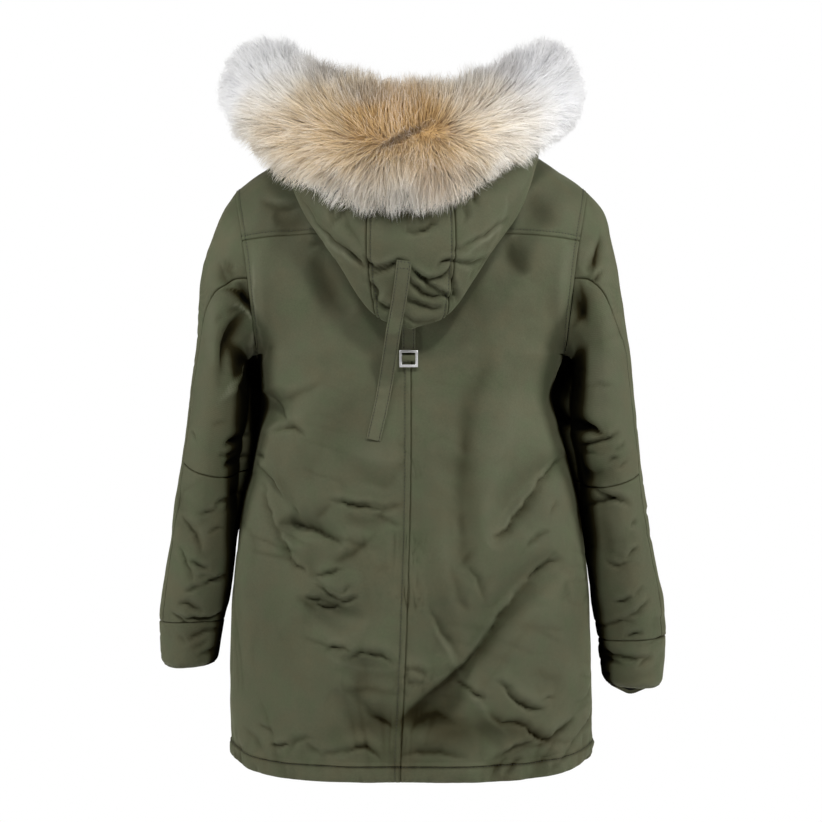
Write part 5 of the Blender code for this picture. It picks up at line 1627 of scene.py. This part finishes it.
def seatOfSlider():
    x, z = slider["centre"]
    steps, rises = np.meshgrid((-11, 0, 11), (-10, 0, 10))
    seat = backDepth(x + steps.ravel(), z + rises.ravel()).max()
    return x, seat + strap["above"] + tab["thickness"], z


def makeTab():
    x, depth, z = seatOfSlider()
    bar = slider["bar"]
    back = depth - tab["gap"] - tab["thickness"]
    heights = np.linspace(tab["top"], z + slider["height"] / 2 + 12, 12)
    hung = np.minimum(backDepth(np.full(12, float(x)), heights) + tab["above"], back + tab["standsOff"])
    profile = [(y, height) for y, height in zip(hung, heights)]
    profile.append((back, z + slider["height"] / 2))
    profile.append((back, z + slider["height"] / 4))
    middle = depth + bar / 2
    outer = middle - back
    for angle in range(180, -1, -20):
        turn = math.radians(angle)
        profile.append((middle + outer * math.cos(turn), z - outer * math.sin(turn)))
    profile.append((middle + outer, z + slider["height"] / 2 - 2 * bar))
    profile = np.array(profile)
    return sewStrip("buckle_tab_cloth", "buckle_tab", tab, stack(float(x), profile[:, 0], profile[:, 1]))


def makeSlider():
    x, depth, z = seatOfSlider()
    halfWidth, halfHeight, bar = slider["width"] / 2, slider["height"] / 2, slider["bar"]
    across = [-halfWidth, -halfWidth + bar, halfWidth - bar, halfWidth]
    up = [-halfHeight, -halfHeight + bar, -bar / 2, bar / 2, halfHeight - bar, halfHeight]
    points = np.array([[(x + a, depth, z + b) for a in across] for b in up])
    form = bmesh.new()
    table = gridVerts(form, points)
    windows = [face for face in form.faces
               if table[1][1] in face.verts and table[2][2] in face.verts
               or table[3][1] in face.verts and table[4][2] in face.verts]
    bmesh.ops.delete(form, geom=windows, context="FACES")
    raised = bmesh.ops.extrude_face_region(form, geom=form.faces[:])["geom"]
    lifted = [item for item in raised if isinstance(item, bmesh.types.BMVert)]
    bmesh.ops.translate(form, verts=lifted, vec=(0, bar * mm, 0))
    bmesh.ops.recalc_face_normals(form, faces=form.faces)
    sharp = [edge for edge in form.edges if edge.calc_face_angle(0) > math.radians(45)]
    bmesh.ops.bevel(form, geom=sharp, offset=slider["bevel"] * mm, segments=3, profile=0.5,
                    affect="EDGES", material=-1)
    for face in form.faces:
        face.smooth = True
    finishPiece(form, "slider_frame", [sliderMetal], "buckle")


strapLine = makeStrap()
tabLine = makeTab()
makeSlider()
print("strap, tab and slider made")


# Topstitching, one short bead of thread for each stitch, near black as painted needle-hole shadow

stitch = {
    "pitch": 4.3,
    "length": 1.8,
    "width": 1.5,
    "height": 1.2,
    "sink": 0.2,
}


def joinedMesh(template, positions, name, materials, tones=None, normals=None):
    # copies of one small mesh in one piece, each with its own points
    template.verts.index_update()
    faces = [[vert.index for vert in face.verts] for face in template.faces]
    count = len(template.verts)
    made = [[corner + k * count for corner in corners] for k in range(len(positions)) for corners in faces]
    mesh = bpy.data.meshes.new(name)
    mesh.from_pydata((positions.reshape(-1, 3) * mm).tolist(), [], made)
    if tones is not None:
        corners = np.array([corner for corners in made for corner in corners])
        layer = mesh.uv_layers.new(name="hair")
        layer.data.foreach_set("uv", tones.reshape(-1, 2)[corners].astype(np.float32).ravel())
    mesh.shade_smooth()
    if normals is not None:
        mesh.normals_split_custom_set_from_vertices(normals.reshape(-1, 3).tolist())
    return placePiece(mesh, name, materials)


def stitchesOn(points, normals):
    # centres, directions and normals of the stitches along a line
    lengths = lengthsAlong(points)
    places = np.arange(stitch["pitch"] / 2, lengths[-1], stitch["pitch"])

    def between(values, at):
        return np.stack([np.interp(at, lengths, values[:, k]) for k in range(3)], axis=1)

    ahead = between(points, places + 1) - between(points, places - 1)
    return between(points, places), unit(ahead), unit(between(normals, places))


def makeStitches():
    lines = []
    row = bodyPieces["sideRow"]
    for side in (1, -1):
        name = sideName(side)
        for face, way in (("back_", 1), ("front_", -1)):
            panel = panels[face + name]
            lines.append(panel.lineBeside("low", body["hemBand"]))
            lines.append(panel.lineBeside("end", row, start=armholeLength(side, way) + 4))
        lines.append(panels["front_" + name].lineBeside("high", row))
        lines.append(panels["cuff_" + name].lineBeside("high", sleevePieces["cuffEdge"]["stitches"][0]))
    lines.append(panels["back_left"].lineBeside("start", bodyPieces["centreRow"], start=5))
    yoke = panels["back_yoke"]
    lines += [yoke.lineBeside("low", bodyPieces["yokeRow"])]
    lines += [yoke.lineBeside(edge, row) for edge in ("start", "end")]
    for edge in ("start", "end"):
        points, normals = panels["hood_centre"].lineBeside(edge, hood["seamRow"])
        shown = points[:, 1] > 120
        lines.append((points[shown], normals[shown]))
    for edge in ("start", "end", "low", "high"):
        lines.append(panels["storm_flap"].lineBeside(edge, flap["row"], start=flap["row"]))
    for (centres, across, outward), look in ((tabLine, tab), (strapLine, strap)):
        inset = look["width"] / 2 - strap["stitchInset"]
        for side in (1, -1):
            lines.append((centres + across * side * inset + outward * look["thickness"] * 0.8, outward))
    for row in (1, 5):                      # box that holds the strap on the hood
        ends = centres[row] + np.linspace(-1, 1, 12)[:, None] * across[row] * inset
        lines.append((ends + outward[row] * strap["thickness"] * 1.05, np.tile(outward[row], (12, 1))))
    parts = [stitchesOn(points, normals) for points, normals in lines if len(points) > 2]
    centres, along, upward = (np.concatenate([part[k] for part in parts]) for k in range(3))
    template = bmesh.new()
    bmesh.ops.create_icosphere(template, subdivisions=1, radius=1)
    shape = np.array([vert.co[:] for vert in template.verts])
    across = np.cross(upward, along)
    positions = (centres[:, None] + shape[None, :, :1] * along[:, None] * stitch["length"] / 2
                 + shape[None, :, 1:2] * across[:, None] * stitch["width"] / 2
                 + (shape[None, :, 2:] * stitch["height"] / 2 + stitch["sink"]) * upward[:, None])
    joinedMesh(template, positions, "topstitching", [threadPaintedShadow])
    template.free()
    print("stitches:", len(centres))


makeStitches()


# Fur: dark wool on the pelt and long hair combed away from a parting

fur = {
    "strands": 82000,
    "clumps": 3000,
    "clumpReach": 6.5,
    "pieces": 3,
    "rootSwell": (0.42, 0.6),
    "tipSwell": (0.84, 1.03),
    "travel": 34,           # how far a hair runs along the roll
    "width": 0.8,
    "curl": 2.2,
    "gather": 0.6,          # how far the tips of a clump come together
    "steps": (0, 0.32, 0.68, 1),
    "gloss": 0.5,
    "glint": 0.5,
    "upward": 0.5,          # turns the shading up, as fine hair scatters light
    "partingLow": 74,       # its height round the roll at its left and right ends
    "partingHigh": 92,
    "partingLeft": 26,      # and the places of those ends beside the middle
    "partingRight": -18,
    "pelt": 0.56,           # how thick the pelt is, and how it closes at its ends
    "peltEnd": (4, 12, 0.02),
    "peltLumps": [(2.2, 14, 31), (1.0, 6, 33)],
    "unseen": 0.55,         # share of roots where the roll is hardly seen, below and near its ends
    "unseenBelow": -0.35,
    "unseenBeyond": 115,
    "hairTravel": (0.75, 1.2),
    "clumpTravel": (0.8, 1.2),
    "hairStray": (2.2, 5),
    "clumpStray": (3, 9),
    "swellStray": 0.035,
    "turn": 1.4,            # a hair first rises and then turns
    "rise": 0.8,
    "gathering": (0.5, 1.1),
    "twist": 0.3,
    "waves": (5, 9),
    "widths": (0.7, 1.15),
    "taper": (1.05, 0.75),
    "clumpTone": 0.45,
    "glossFrom": 0.3,
    "leastFacing": 0.15,
}


def partingAt(angle):
    return mix(fur["partingHigh"], fur["partingLow"], smoothStep(-10, 12, angle))


def sweptPlace(angle, around, travel):
    # where on the roll a hair's tip lies: away from a short parting, and outwards on the wings
    row = tableRow(ruff["columns"], ruff["sections"], np.abs(angle))
    half = 0.5 * (row["halfLong"] + row["halfShort"])
    away = (around - partingAt(angle) + 180) % 360 - 180
    besideS = np.radians(angle) * row["centreR"]
    besideS = besideS - np.clip(besideS, fur["partingRight"], fur["partingLeft"])
    besideT = np.radians(away) * half
    distance = np.sqrt(besideS**2 + besideT**2 + 60)
    slackening = 1 - (np.abs(away) / 180)**4
    wing = smoothStep(50, 100, np.abs(angle))
    section = (around - 90 + 180) % 360 - 180
    runS = mix(besideS / distance, 0.5 * np.sign(angle), wing)
    runT = mix(besideT / distance * slackening, -0.8 * np.tanh(section / 45), wing)
    return angle + np.degrees(runS * travel / row["centreR"]), around + np.degrees(runT * travel / half)


def furRoots(rng, count):
    # places spread evenly over the roll
    end = ruff["endAngle"]
    angle = rng.uniform(-end, end, count * 4)
    around = rng.uniform(0, 360, count * 4)
    row = tableRow(ruff["columns"], ruff["sections"], np.abs(angle))
    turn = np.radians(around)
    area = row["centreR"] * np.hypot(row["halfLong"] * np.sin(turn), row["halfShort"] * np.cos(turn))
    shown = (np.sin(turn) > fur["unseenBelow"]) & (np.abs(angle) < fur["unseenBeyond"])
    seen = np.where(shown, 1, fur["unseen"])
    kept = rng.uniform(0, 1, count * 4) < area * seen / (area.max() * 0.9)
    return angle[kept][:count], around[kept][:count]


def makeFur():
    rng = np.random.default_rng(19)
    angles = np.linspace(-ruff["endAngle"], ruff["endAngle"], 150)
    sides = np.linspace(0, 360, 49)
    around, angle = np.meshgrid(sides, angles)
    beyond, closing, least = fur["peltEnd"]
    closed = np.clip((ruff["endAngle"] + beyond - np.abs(angle)) / closing, least, 1)
    swell = fur["pelt"] * np.sqrt(closed)
    points = ruffPoint(angle, around, swell)
    lumps = unevenness(points, fur["peltLumps"])
    lumps[:, -1] = lumps[:, 0]
    middle = ruffPoint(angle, around, 0.0)
    points += unit(points - middle) * lumps[..., None]
    form = bmesh.new()
    table = gridVerts(form, points)
    bmesh.ops.remove_doubles(form, verts=[line[k] for line in table for k in (0, -1)], dist=0.00002)
    bmesh.ops.holes_fill(form, edges=[edge for edge in form.edges if edge.is_boundary])
    bmesh.ops.recalc_face_normals(form, faces=form.faces)
    for face in form.faces:
        face.smooth = True
    finishPiece(form, "fur_pelt", [woolFinish], "fur_ruff")

    clumpAngle, clumpAround = furRoots(rng, fur["clumps"])
    strands = fur["strands"]
    share = rng.integers(0, len(clumpAngle), strands)
    row = tableRow(ruff["columns"], ruff["sections"], np.abs(clumpAngle))
    spreadAngle = np.degrees(fur["clumpReach"] / row["centreR"])
    spreadAround = np.degrees(fur["clumpReach"] / (0.5 * (row["halfLong"] + row["halfShort"])))
    angle = clumpAngle[share] + rng.normal(0, 1, len(share)) * spreadAngle[share]
    around = clumpAround[share] + rng.normal(0, 1, len(share)) * spreadAround[share]
    angle = np.clip(angle, -ruff["endAngle"] - 2, ruff["endAngle"] + 2)
    rootSwell = rng.uniform(*fur["rootSwell"], len(share))
    clumpSwell = rng.uniform(*fur["tipSwell"], len(clumpAngle))
    tipSwell = clumpSwell[share] + rng.normal(0, fur["swellStray"], len(share))

    def strayTips(angle, around, travels, stray):
        # where hairs end, each a little beside its way
        tips = sweptPlace(angle, around, fur["travel"] * rng.uniform(*travels, len(angle)))
        return [place + rng.normal(0, size, len(angle)) for place, size in zip(tips, stray)]

    tipAngle, tipAround = strayTips(angle, around, fur["hairTravel"], fur["hairStray"])
    clumpTip = ruffPoint(*strayTips(clumpAngle, clumpAround, fur["clumpTravel"], fur["clumpStray"]),
                         clumpSwell)

    template = bmesh.new()
    bmesh.ops.create_grid(template, x_segments=1, y_segments=len(fur["steps"]) - 1, size=0.5)
    top = [vert for vert in template.verts if vert.co.y > 0.49]
    bmesh.ops.pointmerge(template, verts=top, merge_co=(0, 0.5, 0))
    template.verts.index_update()
    steps = np.array([fur["steps"][round((vert.co.y + 0.5) * (len(fur["steps"]) - 1))]
                      for vert in template.verts])
    sideways = np.array([vert.co.x for vert in template.verts])

    def hairPoint(t):
        return ruffPoint(angle[:, None] + (tipAngle - angle)[:, None] * t,
                         around[:, None] + (tipAround - around)[:, None] * t**fur["turn"],
                         rootSwell[:, None] + (tipSwell - rootSwell)[:, None] * t**fur["rise"])

    tips = hairPoint(np.array([1.0]))[:, 0]
    gather = (clumpTip[share] - tips) * (fur["gather"] * rng.uniform(*fur["gathering"], (len(share), 1)))
    places = hairPoint(steps) + gather[:, None] * (steps**2)[None, :, None]
    roots = hairPoint(np.array([0.0]))[:, 0]
    along = unit(tips + gather - roots)
    outward = unit(ruffPoint(angle, around, 1.0) - ruffPoint(angle, around, 0.0))
    across = unit(np.cross(along, outward) + rng.normal(0, fur["twist"], (len(share), 3)))
    start = rng.uniform(0, 6.28, (len(share), 1))
    wave = start + steps[None, :] * rng.uniform(*fur["waves"], (len(share), 1))
    places += across[:, None] * (np.sin(wave) * steps[None, :] * fur["curl"])[..., None]
    wide, narrower = fur["taper"]
    width = fur["width"] * rng.uniform(*fur["widths"], (len(share), 1))
    width = width * (wide - narrower * steps[None, :]**2)
    positions = places + across[:, None] * (width * sideways[None, :])[..., None]
    own = mix(rng.uniform(0, 1, len(share)), rng.uniform(0, 1, len(clumpAngle))[share], fur["clumpTone"])
    tones = np.stack(np.broadcast_arrays(own[:, None], steps[None, :]), axis=-1)
    lean = unit(outward[:, None] + along[:, None] * fur["gloss"] * (steps[None, :, None] - fur["glossFrom"])
                + np.array([0, 0, fur["upward"]])
                + across[:, None] * rng.normal(0, fur["glint"], (len(share), 1, 1)))
    facing = np.cross(across, along)[:, None]
    missing = fur["leastFacing"] - (lean * facing).sum(axis=-1, keepdims=True)
    lean = unit(lean + facing * np.maximum(0, missing))
    order = np.argsort(angle)
    for k, chosen in enumerate(np.array_split(order, fur["pieces"])):
        joinedMesh(template, positions[chosen], "fur_hair_%d" % (k + 1), [hairFinish], tones[chosen],
                   lean[chosen])
    template.free()
    print("hairs:", len(share))


makeFur()


# Camera, lights and floor

stageSet = {
    "cameraPlace": (0, 2.5, -0.322),
    "lens": 83.6,
    "floorHeight": -1.35,
    "floorReach": 2.1,      # stays below the main view
    "skyLight": 0.05,
    # name, place, aim, size and power of each
    "lights": [
        ("right key", (-0.6, 1.75, 1.2), (0, 0, -0.15), 0.25, 29),
        ("left key", (0.6, 1.75, 1.15), (0, 0, -0.15), 0.3, 19),
        ("left box", (2.2, 0.6, 0.5), (0.1, 0, -0.3), 0.5, 34),
        ("right box", (-2.3, 0.55, 0.45), (-0.1, 0, -0.35), 0.5, 42),
        ("front box", (0, -3.0, 1.6), (0, 0, -0.4), 1.6, 40),
    ],
}


def makeStage():
    scene = bpy.context.scene
    cameraData = bpy.data.cameras.new("camera")
    cameraData.lens = stageSet["lens"]
    cameraData.sensor_width = 36
    camera = bpy.data.objects.new("camera", cameraData)
    camera.location = stageSet["cameraPlace"]
    camera.rotation_euler = (math.pi / 2, 0, math.pi)
    scene.collection.objects.link(camera)
    scene.camera = camera
    form = bmesh.new()
    bmesh.ops.create_circle(form, cap_ends=True, segments=96, radius=stageSet["floorReach"])
    bmesh.ops.translate(form, verts=form.verts, vec=(0, 0, stageSet["floorHeight"]))
    mesh = bpy.data.meshes.new("floor")
    form.to_mesh(mesh)
    form.free()
    finish = patchyFinish("pale_floor", 0.9, 30.0, (0.88, 0.88, 0.87), (0.92, 0.92, 0.91))[0]
    finish.put(finish.shader, {"Emission Color": white, "Emission Strength": 0.35})
    mesh.materials.append(finish.material)
    floor = bpy.data.objects.new("floor", mesh)
    scene.collection.objects.link(floor)
    world = bpy.data.worlds.new("studio")
    world.use_nodes = True
    scene.world = world
    nodes, links = world.node_tree.nodes, world.node_tree.links
    shown = nodes["Background"]             # white behind the coat, weaker as light
    shown.inputs["Color"].default_value = (1, 1, 1, 1)
    shown.inputs["Strength"].default_value = 1.0
    lighting = nodes.new("ShaderNodeBackground")
    lighting.inputs["Color"].default_value = (1, 0.87, 0.72, 1)
    lighting.inputs["Strength"].default_value = stageSet["skyLight"]
    rays = nodes.new("ShaderNodeLightPath")
    choose = nodes.new("ShaderNodeMixShader")
    links.new(rays.outputs["Is Camera Ray"], choose.inputs[0])
    links.new(lighting.outputs[0], choose.inputs[1])
    links.new(shown.outputs[0], choose.inputs[2])
    links.new(choose.outputs[0], nodes["World Output"].inputs["Surface"])
    scene.view_settings.view_transform = "Standard"

    def softLight(name, place, aim, size, power):
        data = bpy.data.lights.new(name, "AREA")
        data.energy = power
        data.shape = "SQUARE"
        data.size = size
        light = bpy.data.objects.new(name, data)
        light.location = place
        light.rotation_euler = (Vector(aim) - Vector(place)).to_track_quat("-Z", "Y").to_euler()
        scene.collection.objects.link(light)

    for row in stageSet["lights"]:
        softLight(*row)


makeStage()
print("finishing")
